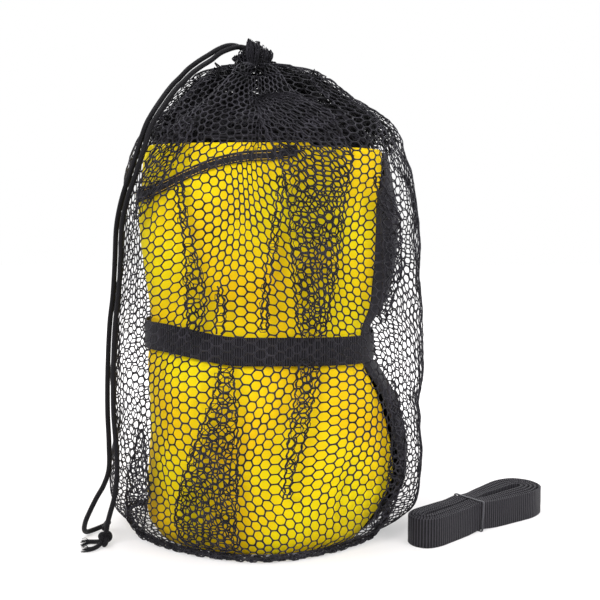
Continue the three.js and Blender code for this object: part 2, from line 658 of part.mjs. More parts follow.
// The outer strand lies over the shoulder, hangs down the left side, turns round on the ground and
// rises into the knot. The inner strand drops beside it straight to the knot.
const OUTER_ROUTE = [
  [-18.2, 2.8, 461], [-21.5, 2.7, 461.8], [-26.5, 1, 463.6], [-34, -1.5, 463.2], [-42.3, -4.2, 459.6],
  [-51.5, -8, 453.2], [-60.6, -12, 446.6], [-69.5, -16, 438.9], [-76.1, -20, 431], [-82.5, -25, 423.3],
  [-88.1, -32, 414.1], [-93.2, -41.2, 403.6], [-97.4, -48.6, 394.5], [-101.8, -53, 385.1],
  [-104.7, -56.8, 375.9], [-107, -58.8, 367.8], [-109.7, -59.2, 359.2], [-115, -58, 344],
  [-121.3, -54.5, 329.3], [-125.9, -50.5, 317.8], [-130.3, -45.5, 304.3], [-133.5, -41, 290.5],
  [-136, -37, 263], [-138.9, -35, 230.7], [-142.4, -34.5, 204.3], [-144.3, -38, 162.7],
  [-144.1, -43, 122.4], [-141.5, -51, 94.3], [-141, -56, 71.4], [-146, -56, 57], [-153, -54.5, 45],
  [-159.5, -52.5, 32.5], [-165, -49, 21], [-168.5, -41.5, 10.5], [-169, -32, 4.4], [-166, -24.2, 2.8],
  [-158.8, -20.6, 4.6], [-151.6, -23.6, 8.8], [-148, -31, 13], [-147, -39.5, 16.4], [-146.6, -48, 17.8],
  [-146.4, -56, 16],
];
const INNER_ROUTE = [
  [-18.2, -2.8, 461], [-21.5, -3, 461.6], [-26.5, -4.2, 461], [-33, -6.4, 458.6], [-40.5, -9.8, 454.4],
  [-48.2, -13, 447.7], [-56.3, -22, 440.4], [-64.5, -30.4, 432.1], [-70.6, -35, 424.8],
  [-76.6, -40.5, 417.4], [-81.9, -46.3, 408.9], [-87.3, -51, 399.7], [-91.9, -56, 391.1],
  [-96.2, -59.7, 382.5], [-99.1, -62.7, 373.6], [-101.1, -64.3, 366], [-103.8, -65, 357.1],
  [-109.1, -64.2, 342], [-115.2, -61.2, 327.3], [-119.5, -58.2, 316.1], [-123.5, -54.8, 303.3],
  [-126.1, -52.2, 290], [-128.1, -49.5, 263.1], [-131, -47.5, 231.2], [-134.4, -47.5, 205.3],
  [-136.2, -51, 164], [-135.6, -56, 124.3], [-133.1, -61, 99.7], [-131.1, -66.5, 73.5],
  [-133.5, -68.5, 50], [-138, -66, 35], [-141.5, -62.5, 24], [-143.4, -60.3, 15],
];
const KNOT_CENTRE = new THREE.Vector3(-145, -58.5, KNOT_HEIGHT / 2);
const UPPER_TAIL = [[-150.5, -56.4, 4.4], [-156, -53.5, 2.9], [-162, -53, 2.6], [-168, -55.5, 2.6]];
const LOWER_TAIL = [[-148.4, -63.4, 4.5], [-152.5, -69, 2.9], [-157, -71.5, 2.6], [-163.5, -70.5, 2.6]];
add("drawstring_outer_run", cordTube(OUTER_ROUTE, 60), BLACK_CORD);
add("drawstring_inner_run", cordTube(INNER_ROUTE, 46), BLACK_CORD);
add("drawstring_upper_tail", cordTube(UPPER_TAIL, 4), BLACK_CORD);
add("drawstring_lower_tail", cordTube(LOWER_TAIL, 4), BLACK_CORD);

const knot = new THREE.SphereGeometry(1, 12, 8).scale(KNOT_WIDTH / 2, KNOT_WIDTH / 2, KNOT_HEIGHT / 2);
knot.translate(KNOT_CENTRE.x, KNOT_CENTRE.y, KNOT_CENTRE.z);
add("drawstring_knot", knot, BLACK_CORD);

// ---- The spare strap's hank ----------------------------------------------------------------------
const hank = new THREE.Group();
hank.position.set(HANK_ORIGIN[0], HANK_ORIGIN[1], 0);
hank.rotation.z = HANK_TURN * RAD;
part.add(hank);

// The outermost turn: one long loop, flat at the left, drawn in by the band, open at the right.
const [capRadius, lobeRadius] = [HANK_LEFT_WIDTH / 2, HANK_LOBE_WIDTH / 2];
const waistP = HANK_LENGTH * HANK_WAIST_AT;
const halfWaist = HANK_WAIST_WIDTH / 2;
const lobeP = HANK_LENGTH - lobeRadius;
const outerTurn = new THREE.CatmullRomCurve3([
  [waistP, halfWaist], [waistP * 0.55, capRadius], [capRadius * 0.9, capRadius * 0.97],
  [capRadius * 0.25, capRadius * 0.66], [0, 0], [capRadius * 0.25, -capRadius * 0.66],
  [capRadius * 0.9, -capRadius * 0.97], [waistP * 0.55, -capRadius], [waistP, -halfWaist],
  [mix(waistP, lobeP, 0.5), -mix(halfWaist, lobeRadius, 0.62)], [lobeP * 0.99, -lobeRadius],
  [HANK_LENGTH - lobeRadius * 0.3, -lobeRadius * 0.72], [HANK_LENGTH, 0],
  [HANK_LENGTH - lobeRadius * 0.3, lobeRadius * 0.72], [lobeP * 0.99, lobeRadius],
  [mix(waistP, lobeP, 0.5), mix(halfWaist, lobeRadius, 0.62)],
].map(([p, q]) => new THREE.Vector3(p, q, 0)), true, "centripetal");

const LAYER_PITCH = WEBBING_THICKNESS + WEBBING_GAP;
// A point of the webbing's spiral, so many loops in from its outer end, at a depth in its thickness
function spiralPoint(loops, depth) {
  const share = loops % 1;
  const on = outerTurn.getPointAt(share);
  const along = outerTurn.getTangentAt(share);
  const inward = new THREE.Vector3(along.y, -along.x, 0);
  if (inward.dot(new THREE.Vector3(HANK_LENGTH / 2 - on.x, -on.y, 0)) < 0) inward.negate();
  return on.addScaledVector(inward, loops * LAYER_PITCH + depth);
}
// The webbing stands on the ground and rides up a little where the band passes under it.
const BAND_RIDE = BAND_THICKNESS + TOUCH;
const webbingFoot = (p) => BAND_RIDE * Math.max(0, 1 - ((p - waistP) / 20) ** 2) ** 2;
const webbingGrid = (depth) =>
  range(HANK_LOOPS * HANK_LOOP_STEPS + 1, (i) => {
    const point = spiralPoint(i / HANK_LOOP_STEPS, depth);
    const foot = webbingFoot(point.x);
    return [foot, foot + WEBBING_WIDTH].map((z) => new THREE.Vector3(point.x, point.y, z));
  });
add("spare_strap_webbing", sheetSolid(webbingGrid(0), webbingGrid(WEBBING_THICKNESS)), BLACK_WEBBING, hank);

// The least gap between neighbouring turns and across the innermost one, on points
function leastGap() {
  let least = Infinity;
  const outside = webbingGrid(0).map(([p]) => p);
  const inside = webbingGrid(WEBBING_THICKNESS).map(([p]) => p);
  inside.forEach((a, i) => {
    outside.forEach((b, j) => {
      if (j >= i + HANK_LOOP_STEPS / 2) least = Math.min(least, Math.hypot(a.x - b.x, a.y - b.y));
    });
    inside.forEach((b, j) => {
      if (j >= i + 3) least = Math.min(least, Math.hypot(a.x - b.x, a.y - b.y));
    });
  });
  return least;
}
console.log("spare strap: least gap between turns", leastGap().toFixed(2), "mm");

const bandRows = (() => {
  const corner = 1;
  const [low, high] = [BAND_RIDE - TOUCH, BAND_RIDE + WEBBING_WIDTH + TOUCH];
  const [front, back] = [halfWaist + TOUCH + 0.6, -halfWaist - TOUCH - 0.6];
  const ring = (grow) => {
    const outline = [];
    const centres = [[front - corner, high - corner], [back + corner, high - corner],
      [back + corner, low + corner], [front - corner, low + corner]];
    centres.forEach(([q, z], quarter) => {
      [0, 45, 90].forEach((step) => {
        const turn = (quarter * 90 + step) * RAD;
        outline.push([q + (corner + grow) * Math.cos(turn), z + (corner + grow) * Math.sin(turn)]);
      });
    });
    return outline;
  };
  const row = (grow, side) =>
    ring(grow).map(([q, z]) => new THREE.Vector3(waistP + side * (BAND_WIDTH / 2), q, z));
  return [row(0, -1), row(BAND_THICKNESS, -1), row(BAND_THICKNESS, 1), row(0, 1)];
})();
add("spare_strap_band", ringSolid(bandRows, { caps: false }), BLACK_CORD, hank);

export default part;
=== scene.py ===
import math

import bpy
import numpy as np
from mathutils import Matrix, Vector


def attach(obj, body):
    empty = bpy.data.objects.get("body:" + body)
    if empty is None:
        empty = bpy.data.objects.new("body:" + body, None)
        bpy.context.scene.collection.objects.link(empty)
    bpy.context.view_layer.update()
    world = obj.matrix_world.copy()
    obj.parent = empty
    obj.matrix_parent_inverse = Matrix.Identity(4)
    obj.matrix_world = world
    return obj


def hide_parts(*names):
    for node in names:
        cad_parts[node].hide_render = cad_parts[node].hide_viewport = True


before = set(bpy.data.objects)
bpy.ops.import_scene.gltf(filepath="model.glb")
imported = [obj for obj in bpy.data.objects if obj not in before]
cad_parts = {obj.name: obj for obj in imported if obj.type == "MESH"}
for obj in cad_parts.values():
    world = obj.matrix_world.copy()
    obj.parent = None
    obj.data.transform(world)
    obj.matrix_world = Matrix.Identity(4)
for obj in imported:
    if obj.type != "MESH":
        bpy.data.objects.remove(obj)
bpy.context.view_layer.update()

MM = 0.001
SEED = 7
BAG = "bag"
SPARE = "spare_strap"

# ---- The camera and the lamps ----------------------------------------------------------------------
CAMERA_PLACE = (0.034, -0.80, 0.29)
CAMERA_TILT = 85.2
SENSOR_WIDTH = 36.0
LENS = 49.8
MIDDLE = (0.02, 0, 0.22)
LAMPS = [  # name, place, width across and power
    ("key", (-0.55, -1.25, 1.15), 0.9, 19.5), ("fill", (1.15, -0.95, 0.75), 1.0, 13.5),
    ("top", (0.05, 0.15, 1.6), 1.1, 10), ("back", (-0.3, 1.4, 0.9), 1.1, 9),
]
WORLD_LIGHT = 0.65
WHITE = (1, 1, 1, 1)

scene = bpy.context.scene
scene.view_settings.view_transform = "Standard"


def camera():
    data = bpy.data.cameras.new("camera")
    data.sensor_width = SENSOR_WIDTH
    data.lens = LENS
    made = bpy.data.objects.new("camera", data)
    made.location = CAMERA_PLACE
    made.rotation_euler = (math.radians(CAMERA_TILT), 0, 0)
    scene.collection.objects.link(made)
    scene.camera = made


def lamp(name, place, size, power):
    data = bpy.data.lights.new(name, "AREA")
    data.shape = "DISK"
    data.size = size
    data.energy = power
    made = bpy.data.objects.new(name, data)
    made.location = place
    made.rotation_euler = (Vector(MIDDLE) - Vector(place)).to_track_quat("-Z", "Y").to_euler()
    scene.collection.objects.link(made)


camera()
for settings in LAMPS:
    lamp(*settings)


# ---- Shader values ---------------------------------------------------------------------------------
def node(tree, kind, **values):
    """A new shader node. Values named in_... go to its inputs, and the others are its settings."""
    made = tree.nodes.new(kind)
    for key, value in values.items():
        if key.startswith("in_"):
            made.inputs[key[3:].replace("_", " ")].default_value = value
        else:
            setattr(made, key, value)
    return made


class Value:
    """A shader node's output that can be reckoned with as a number can."""

    def __init__(self, tree, socket):
        self.tree = tree
        self.socket = socket

    def to(self, socket):
        self.tree.links.new(self.socket, socket)

    def reckoned(self, operation, other=None):
        made = node(self.tree, "ShaderNodeMath", operation=operation)
        self.to(made.inputs[0])
        if isinstance(other, Value):
            other.to(made.inputs[1])
        elif other is not None:
            made.inputs[1].default_value = other
        return Value(self.tree, made.outputs[0])

    def __add__(self, other):
        return self.reckoned("ADD", other)

    def __sub__(self, other):
        return self.reckoned("SUBTRACT", other)

    def __mul__(self, other):
        return self.reckoned("MULTIPLY", other)

    def wave(self, pitch):
        """A sine that repeats once in each pitch."""
        return (self * (2 * math.pi / pitch)).reckoned("SINE")


def place_on(tree, kind):
    """The place on the object, or on its cloth for UV."""
    return Value(tree, node(tree, "ShaderNodeTexCoord").outputs[kind])


def uv_numbers(tree):
    made = node(tree, "ShaderNodeSeparateXYZ")
    place_on(tree, "UV").to(made.inputs[0])
    return Value(tree, made.outputs[0]), Value(tree, made.outputs[1])


def noise(tree, scale, detail, roughness=0.6):
    made = node(tree, "ShaderNodeTexNoise", in_Scale=scale, in_Detail=detail, in_Roughness=roughness)
    place_on(tree, "Object").to(made.inputs["Vector"])
    return Value(tree, made.outputs["Fac"])


def two_colors(factor, low, high, start=0.3, end=0.7):
    ramp = node(factor.tree, "ShaderNodeValToRGB")
    for stop, place, color in zip(ramp.color_ramp.elements, (start, end), (low, high)):
        stop.position = place
        stop.color = (*color, 1)
    factor.to(ramp.inputs[0])
    return Value(factor.tree, ramp.outputs[0])


def bump(height, shader, distance, strength):
    made = node(height.tree, "ShaderNodeBump", in_Strength=strength, in_Distance=distance)
    height.to(made.inputs["Height"])
    Value(height.tree, made.outputs[0]).to(shader.inputs["Normal"])


def seen_directly(tree):
    """1 for what the camera, a reflection or a see-through surface shows, and 0 for light."""
    path = node(tree, "ShaderNodeLightPath").outputs
    seen = Value(tree, path["Is Camera Ray"])
    for ray in ("Is Glossy Ray", "Is Transmission Ray"):
        seen = seen.reckoned("MAXIMUM", Value(tree, path[ray]))
    return seen


def white_world():
    """A white world to the eye, which lights the object more softly than it looks."""
    world = bpy.data.worlds.new("studio")
    scene.world = world
    world.use_nodes = True
    tree = world.node_tree
    tree.nodes.clear()
    mixer = node(tree, "ShaderNodeMixShader")
    seen_directly(tree).to(mixer.inputs[0])
    for slot, strength in ((1, WORLD_LIGHT), (2, 1.0)):
        glow = node(tree, "ShaderNodeBackground", in_Color=WHITE, in_Strength=strength)
        tree.links.new(glow.outputs[0], mixer.inputs[slot])
    tree.links.new(mixer.outputs[0], node(tree, "ShaderNodeOutputWorld").inputs["Surface"])


white_world()


# ---- Shape helpers ---------------------------------------------------------------------------------
def ease(v):
    v = np.clip(v, 0, 1)
    return v * v * (3 - 2 * v)


def mix(a, b, t):
    return a + (b - a) * t


def profile(pairs):
    """A smooth curve through (place, value) pairs, flat beyond its two ends."""
    places, values = np.array(pairs, float).T
    last = len(pairs) - 1
    low = np.maximum(np.arange(last + 1) - 1, 0)
    high = np.minimum(np.arange(last + 1) + 1, last)
    slopes = (values[high] - values[low]) / (places[high] - places[low])

    def at(place):
        p = np.clip(place, places[0], places[-1])
        i = np.clip(np.searchsorted(places, p, side="right") - 1, 0, last - 1)
        width = places[i + 1] - places[i]
        t = (p - places[i]) / width
        rise = values[i + 1] - values[i]
        start = slopes[i] * width
        end = slopes[i + 1] * width
        bend = 3 * rise - 2 * start - end
        return values[i] + t * start + t * t * bend + t**3 * (start + end - 2 * rise)

    return at


def catmull(points, closed, per_span):
    """A smooth curve through points, evenly spaced by the square root of their distances."""
    p = np.array(points, float)
    if closed:
        ext = np.vstack([p[-1], p, p[0], p[1]])
        spans = len(p)
    else:
        ext = np.vstack([2 * p[0] - p[1], p, 2 * p[-1] - p[-2]])
        spans = len(p) - 1
    t = np.linspace(0, 1, per_span, endpoint=False)[:, None]
    out = []
    for i in range(spans):
        a, b, c, d = ext[i:i + 4]
        ab, bc, cd = (np.sqrt(np.linalg.norm(v)) for v in (b - a, c - b, d - c))
        start = ((b - a) / ab - (c - a) / (ab + bc) + (c - b) / bc) * bc
        end = ((c - b) / bc - (d - b) / (bc + cd) + (d - c) / cd) * bc
        bend = 3 * (c - b) - 2 * start - end
        out.append(b + t * start + t**2 * bend + t**3 * (start + end - 2 * (c - b)))
    out.append(p[:1] if closed else p[-1:])
    return np.vstack(out)


def lengths_along(points):
    """How far along a line each of its points lies."""
    return np.concatenate([[0], np.cumsum(np.linalg.norm(np.diff(points, axis=0), axis=1))])


def on_line(want, along, points):
    """The places on a line, given its lengths, that lie as far along it as wanted."""
    return np.stack([np.interp(want, along, points[:, k]) for k in range(points.shape[1])], -1)


def evenly(points, count):
    """The same line with its points evenly spaced."""
    along = lengths_along(points)
    return on_line(np.linspace(0, along[-1], count), along, points)


def edge_at(points, z):
    """x at a height on a line of (x, z) points."""
    xs, zs = np.array(points, float).T
    order = np.argsort(zs)
    return np.interp(z, zs[order], xs[order])


def within(z, heights, fade, spare=0):
    """1 between the lowest and the highest of some heights, fading to 0 at both."""
    return ease((z - min(heights) + spare) / fade) * ease((max(heights) + spare - z) / fade)


def unit(v):
    return v / np.maximum(np.linalg.norm(v, axis=-1, keepdims=True), 1e-9)


def sideways(ahead):
    """The directions to the right of a flat line's own."""
    return np.stack([ahead[:, 1], -ahead[:, 0]], 1)


class Noise:
    """Smooth random waves over two numbers, the same on every run."""

    def __init__(self, seed, scale, waves=9):
        rng = np.random.default_rng(SEED * 1000 + seed)
        self.turn = rng.uniform(0, 2 * np.pi, waves)
        self.reach = rng.uniform(0.5, 1.6, waves) / scale
        self.phase = rng.uniform(0, 2 * np.pi, waves)
        self.size = 1.5 / waves

    def __call__(self, a, b):
        total = 0
        for turn, reach, phase in zip(self.turn, self.reach, self.phase):
            total = total + np.sin(2 * np.pi * reach * (a * np.cos(turn) + b * np.sin(turn)) + phase)
        return total * self.size


def mesh_object(name, points, faces, look, smooth=True, uv=None):
    """A mesh from millimetre points. faces is a list of index lists, or an array of quads."""
    mesh = bpy.data.meshes.new(name)
    flat = np.asarray(points, float) * MM
    if isinstance(faces, np.ndarray):
        count, corners = faces.shape
        mesh.vertices.add(len(flat))
        mesh.vertices.foreach_set("co", flat.ravel())
        mesh.loops.add(count * corners)
        mesh.loops.foreach_set("vertex_index", faces.ravel().astype(np.int32))
        mesh.polygons.add(count)
        mesh.polygons.foreach_set("loop_start", np.arange(0, count * corners, corners, dtype=np.int32))
        mesh.update(calc_edges=True)
    else:
        mesh.from_pydata(flat.tolist(), [], [list(map(int, f)) for f in faces])
        mesh.update()
    if uv is not None:
        layer = mesh.uv_layers.new(name="uv")
        where = np.empty(len(mesh.loops), np.int32)
        mesh.loops.foreach_get("vertex_index", where)
        layer.data.foreach_set("uv", np.asarray(uv, float)[where].ravel())
    if smooth:
        mesh.polygons.foreach_set("use_smooth", np.ones(len(mesh.polygons), bool))
    mesh.materials.append(look)
    piece = bpy.data.objects.new(name, mesh)
    scene.collection.objects.link(piece)
    return piece


def dressed(piece, cad_node=None, body=BAG):
    """Puts a new piece on the body that it rides on, and hides the solid that it stands for."""
    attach(piece, body)
    if cad_node:
        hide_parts(cad_node)
    return piece


def grid_faces(rows, columns, closed_columns=False):
    """Quads of a grid of points stored row by row."""
    r = np.arange(rows - 1)[:, None]
    c = np.arange(columns if closed_columns else columns - 1)[None, :]
    nxt = (c + 1) % columns
    quads = [r * columns + c, r * columns + nxt, (r + 1) * columns + nxt, (r + 1) * columns + c]
    return np.stack(quads, -1).reshape(-1, 4)


def capped(rows, columns, low_cap, high_cap):
    """Faces of a closed tube of rings, fanned shut at both ends round two further points."""
    faces = grid_faces(rows, columns, closed_columns=True).tolist()
    last = (rows - 1) * columns
    for k in range(columns):
        n = (k + 1) % columns
        faces.append([low_cap, n, k])
        faces.append([high_cap, last + k, last + n])
    return faces


def sheet_mesh(outer, inner):
    """Points and quads of a closed sheet between two grids of the same shape."""
    rows, columns = outer.shape[:2]
    points = np.concatenate([outer.reshape(-1, 3), inner.reshape(-1, 3)])
    half = rows * columns
    grid = np.arange(half).reshape(rows, columns)
    faces = [grid_faces(rows, columns), grid_faces(rows, columns)[:, ::-1] + half]
    for line in (grid[:, 0], grid[::-1, -1], grid[0, ::-1], grid[-1]):
        a, b = line[:-1], line[1:]
        faces.append(np.stack([a, b, b + half, a + half], 1))
    return points, np.concatenate(faces)


def facing_out(points, faces):
    """Quads turned so that the closed mesh's volume is positive."""
    a, b, c, d = (points[faces[:, k]] for k in range(4))
    volume = np.sum(a * np.cross(b, c)) + np.sum(a * np.cross(c, d))
    return faces if volume > 0 else faces[:, ::-1]


def sheet_piece(name, outer, inner, along, up, look, slot, cad_node, body=BAG):
    """A closed sheet whose pattern is laid by two lengths in millimetres, along it and up it."""
    points, faces = sheet_mesh(outer, inner)
    uv = np.stack(np.broadcast_arrays(along * MM, up * MM), -1).reshape(-1, 2)
    piece = mesh_object(name, points, facing_out(points, faces), look, uv=np.concatenate([uv, uv]))
    return dressed(piece, cad_node, body)


def joined_tubes(tubes):
    """Several tubes' points, faces and uv as one."""
    faces = []
    total = 0
    for points, own, _ in tubes:
        faces += [[v + total for v in face] for face in own]
        total += len(points)
    return np.concatenate([t[0] for t in tubes]), faces, np.concatenate([t[2] for t in tubes])


# ---- Materials -------------------------------------------------------------------------------------
def material(name, color, roughness, specular, sheen, sheen_roughness, sheen_tint=None):
    look = bpy.data.materials.new(name)
    look.use_nodes = True
    look.diffuse_color = (*color, 1)
    shader = look.node_tree.nodes["Principled BSDF"]
    shader.inputs["Base Color"].default_value = (*color, 1)
    shader.inputs["Roughness"].default_value = roughness
    shader.inputs["Specular IOR Level"].default_value = specular
    shader.inputs["Sheen Weight"].default_value = sheen
    shader.inputs["Sheen Roughness"].default_value = sheen_roughness
    if sheen_tint:
        shader.inputs["Sheen Tint"].default_value = (*sheen_tint, 1)
    return look, look.node_tree, shader


def net_look(name, dark, bright, sheen):
    look, tree, shader = material(name, bright, 0.55, 0.12, sheen, 0.45, (0.55, 0.55, 0.62))
    fine = noise(tree, 1400, 2)
    two_colors(noise(tree, 60, 2, 0.5), dark, bright).to(shader.inputs["Base Color"])
    (fine * 0.3 + 0.33).to(shader.inputs["Roughness"])
    bump(fine, shader, 0.0002, 0.8)
    return look


def cloth_look(name, dark, bright, roughness, sheen=0.2, thread=0.0007, depth=0.00006):
    """Plain woven cloth, with threads so wide and so deep, in metres."""
    look, tree, shader = material(name, bright, roughness, 0.15, sheen, 0.5)
    broad, fine = noise(tree, 11, 3, 0.5), noise(tree, 260, 4)
    two_colors(broad, dark, bright, 0.3, 0.62).to(shader.inputs["Base Color"])
    (fine * 0.16 + (roughness - 0.08)).to(shader.inputs["Roughness"])
    along, across = uv_numbers(tree)
    bump(along.wave(thread) * across.wave(thread) + fine * 1.4, shader, depth, 0.7)
    return look


def webbing_look(name, dark, bright, rib):
    """Ribbed webbing: uv is metres along the strap and metres across it; the ribs run across."""
    look, tree, shader = material(name, bright, 0.5, 0.12, 0.05, 0.4, (0.7, 0.7, 0.78))
    along, across = uv_numbers(tree)
    ribs = along.wave(rib) * 0.5 + 0.5
    fine = noise(tree, 900, 2)
    # The colour goes dark in the ribs' grooves and light on their crests, which is painted shade and
    # highlight; the fine noise adds random tone
    shade = ribs * 0.6 + fine * 0.4
    two_colors(shade, dark, bright, 0.2, 0.85).to(shader.inputs["Base Color"])
    bump(ribs + across.wave(0.0009) * 0.18 + fine * 0.5, shader, 0.0006, 1.0)
    return look


def braid_look(name, dark, bright, strands=8, pitch=0.011):
    """A round braid: uv is turns round the cord and metres along it."""
    look, tree, shader = material(name, (0.008, 0.008, 0.01), 0.6, 0.1, 0.07, 0.45, (0.6, 0.6, 0.66))
    turns, along = uv_numbers(tree)
    turn, climb = turns * strands, along * (1 / pitch * strands / 2)
    woven = ((turn + climb).wave(2) * (turn - climb).wave(2)).reckoned("ABSOLUTE")
    height = woven + noise(tree, 2200, 2) * 0.35
    # The colour follows the weave's height, dark in the hollows between the strands and light on their
    # crests, which is painted shade and highlight; the noise adds random tone
    two_colors(height, dark, bright, 0.1, 0.95).to(shader.inputs["Base Color"])
    bump(height, shader, 0.0004, 0.9)
    return look


NET_YARN = net_look("net_yarn", (0.006, 0.0057, 0.0074), (0.027, 0.0252, 0.0325), 0.12)
# A darker copy of the net yarn, with less sheen, for the folded core and the shoulder's inner layers: its
# colour is painted shade between the layers of net
SHADED_NET_YARN = net_look("shaded_net_yarn", (0.0015, 0.0015, 0.0018), (0.006, 0.0055, 0.007), 0.03)
YELLOW = cloth_look("yellow_cloth", (0.98, 0.56, 0.001), (0.98, 0.78, 0.002), 0.68, 0.02)
SLEEVE = cloth_look("sleeve_cloth", (0.018, 0.0175, 0.022), (0.034, 0.032, 0.04), 0.75, 0.1)
BINDING = cloth_look("binding_tape", (0.011, 0.011, 0.0135), (0.022, 0.021, 0.026), 0.75, 0.1, 0.0009, 0.0001)
STITCH = cloth_look("gold_thread", (0.62, 0.36, 0.03), (0.8, 0.5, 0.05), 0.55, 0.2, 0.0004, 0.00005)
# Both webbings carry painted shade in their rib grooves, darker on the hank
STRAP_WEBBING = webbing_look("strap_webbing", (0.006, 0.0056, 0.0072), (0.044, 0.041, 0.051), 0.0021)
HANK_WEBBING = webbing_look("hank_webbing", (0.0008, 0.0008, 0.001), (0.046, 0.043, 0.052), 0.0027)
CORD_LOOK = braid_look("braided_cord", (0.0018, 0.0017, 0.0022), (0.011, 0.0103, 0.0125))
PATCH = cloth_look("closure_patch", (0.02, 0.02, 0.024), (0.045, 0.045, 0.05), 0.9, 0.6, 0.0012, 0.0003)
ELASTIC = cloth_look("elastic_band", (0.03, 0.03, 0.035), (0.075, 0.074, 0.085), 0.5, 0.2, 0.0005, 0.00005)


# ---- The floor -------------------------------------------------------------------------------------
FLOOR_COLOR = (0.5, 0.485, 0.49, 1)
FLOOR_REACH = 6000
NEAR = 0.2  # metres from the middle, as is FAR
FAR = 0.7
GLOW_NEAR = 0.45
GLOW_FAR = 0.8


def floor():
    """A white studio floor: white to the eye, darker only where the object keeps the light off it."""
    look = bpy.data.materials.new("floor")
    look.use_nodes = True
    tree = look.node_tree
    tree.nodes.clear()
    diffuse = node(tree, "ShaderNodeBsdfDiffuse", in_Color=FLOOR_COLOR)
    glow = node(tree, "ShaderNodeEmission", in_Color=WHITE)
    away = node(tree, "ShaderNodeVectorMath", operation="LENGTH")
    place_on(tree, "Object").to(away.inputs[0])
    far = node(tree, "ShaderNodeMapRange", in_From_Min=NEAR, in_From_Max=FAR, in_To_Min=GLOW_NEAR,
               in_To_Max=GLOW_FAR)
    tree.links.new(away.outputs["Value"], far.inputs["Value"])
    (seen_directly(tree) * Value(tree, far.outputs["Result"])).to(glow.inputs["Strength"])
    both = node(tree, "ShaderNodeAddShader")
    tree.links.new(diffuse.outputs[0], both.inputs[0])
    tree.links.new(glow.outputs[0], both.inputs[1])
    tree.links.new(both.outputs[0], node(tree, "ShaderNodeOutputMaterial").inputs["Surface"])
    corners = [(x * FLOOR_REACH, y * FLOOR_REACH, 0) for x, y in ((-1, -1), (1, -1), (1, 1), (-1, 1))]
    mesh_object("floor", corners, [[0, 1, 2, 3]], look, smooth=False)


floor()

# ---- The drawstring --------------------------------------------------------------------------------
CORD_RADIUS = 2.3
CORD_STEP = 1.2
END_BULGE = 0.25  # of the radius
OUTER_ROUTE = [
    (-18.2, 2.8, 461), (-21.5, 2.7, 461.8), (-26.5, 1, 463.6), (-34, -1.5, 463.2), (-42.3, -4.2, 459.6),
    (-51.5, -8, 453.2), (-60.6, -12, 446.6), (-69.5, -16, 438.9), (-76.1, -20, 431), (-82.5, -25, 423.3),
    (-88.1, -32, 414.1), (-93.2, -41.2, 403.6), (-97.4, -48.6, 394.5), (-101.8, -53, 385.1),
    (-104.7, -56.8, 375.9), (-107, -58.8, 367.8), (-109.7, -59.2, 359.2), (-115, -58, 344),
    (-121.3, -54.5, 329.3), (-125.9, -50.5, 317.8), (-130.3, -45.5, 304.3), (-133.5, -41, 290.5),
    (-136, -37, 263), (-138.9, -35, 230.7), (-142.4, -34.5, 204.3), (-144.3, -38, 162.7),
    (-144.1, -43, 122.4), (-141.5, -51, 94.3), (-141, -56, 71.4), (-146, -56, 57), (-153, -54.5, 45),
    (-159.5, -52.5, 32.5), (-165, -49, 21), (-168.5, -41.5, 10.5), (-169, -32, 4.4), (-166, -24.2, 2.8),
    (-158.8, -20.6, 4.6), (-151.6, -23.6, 8.8), (-148, -31, 13), (-147, -39.5, 16.4),
    (-146.6, -48, 17.8), (-146.4, -56, 16),
]
INNER_ROUTE = [
    (-18.2, -2.8, 461), (-21.5, -3, 461.6), (-26.5, -4.2, 461), (-33, -6.4, 458.6), (-40.5, -9.8, 454.4),
    (-48.2, -13, 447.7), (-56.3, -22, 440.4), (-64.5, -30.4, 432.1), (-70.6, -35, 424.8),
    (-76.6, -40.5, 417.4), (-81.9, -46.3, 408.9), (-87.3, -51, 399.7), (-91.9, -56, 391.1),
    (-96.2, -59.7, 382.5), (-99.1, -62.7, 373.6), (-101.1, -64.3, 366), (-103.8, -65, 357.1),
    (-109.1, -64.2, 342), (-115.2, -61.2, 327.3), (-119.5, -58.2, 316.1), (-123.5, -54.8, 303.3),
    (-126.1, -52.2, 290), (-128.1, -49.5, 263.1), (-131, -47.5, 231.2), (-134.4, -47.5, 205.3),
    (-136.2, -51, 164), (-135.6, -56, 124.3), (-133.1, -61, 99.7), (-131.1, -66.5, 73.5),
    (-133.5, -68.5, 50), (-138, -66, 35), (-141.5, -62.5, 24), (-143.4, -60.3, 15),
]


def along_frames(path):
    """Side and top directions at each point of a line, turning as little as possible."""
    ahead = unit(np.gradient(path, axis=0))
    side = np.empty_like(path)
    side[0] = unit(np.cross(ahead[0], (0.1, 0.2, 1.0)))
    for i in range(1, len(path)):
        carried = side[i - 1] - ahead[i] * np.dot(side[i - 1], ahead[i])
        side[i] = unit(carried)
    return side, np.cross(ahead, side), ahead


def tube(path, radius, sides):
    """Points, faces and uv of a round tube with rounded ends. radius is a number or one per point."""
    side, top, ahead = along_frames(path)
    radius = np.broadcast_to(np.asarray(radius, float), len(path))
    turn = np.linspace(0, 2 * np.pi, sides, endpoint=False)
    ring = np.cos(turn)[None, :, None] * side[:, None] + np.sin(turn)[None, :, None] * top[:, None]
    body = path[:, None] + ring * radius[:, None, None]
    tips = [path[0] - ahead[0] * radius[0] * END_BULGE, path[-1] + ahead[-1] * radius[-1] * END_BULGE]
    points = np.concatenate([body.reshape(-1, 3), tips])
    faces = capped(len(path), sides, len(points) - 2, len(points) - 1)
    along = lengths_along(path) * MM
    uv = np.stack(np.broadcast_arrays(turn / (2 * np.pi), along[:, None]), -1).reshape(-1, 2)
    return points, faces, np.concatenate([uv, [[0, 0], [0, along[-1]]]])


def cord_piece(name, cad_node, tubes):
    points, faces, uv = joined_tubes(tubes)
    return dressed(mesh_object(name, points, faces, CORD_LOOK, uv=uv), cad_node)


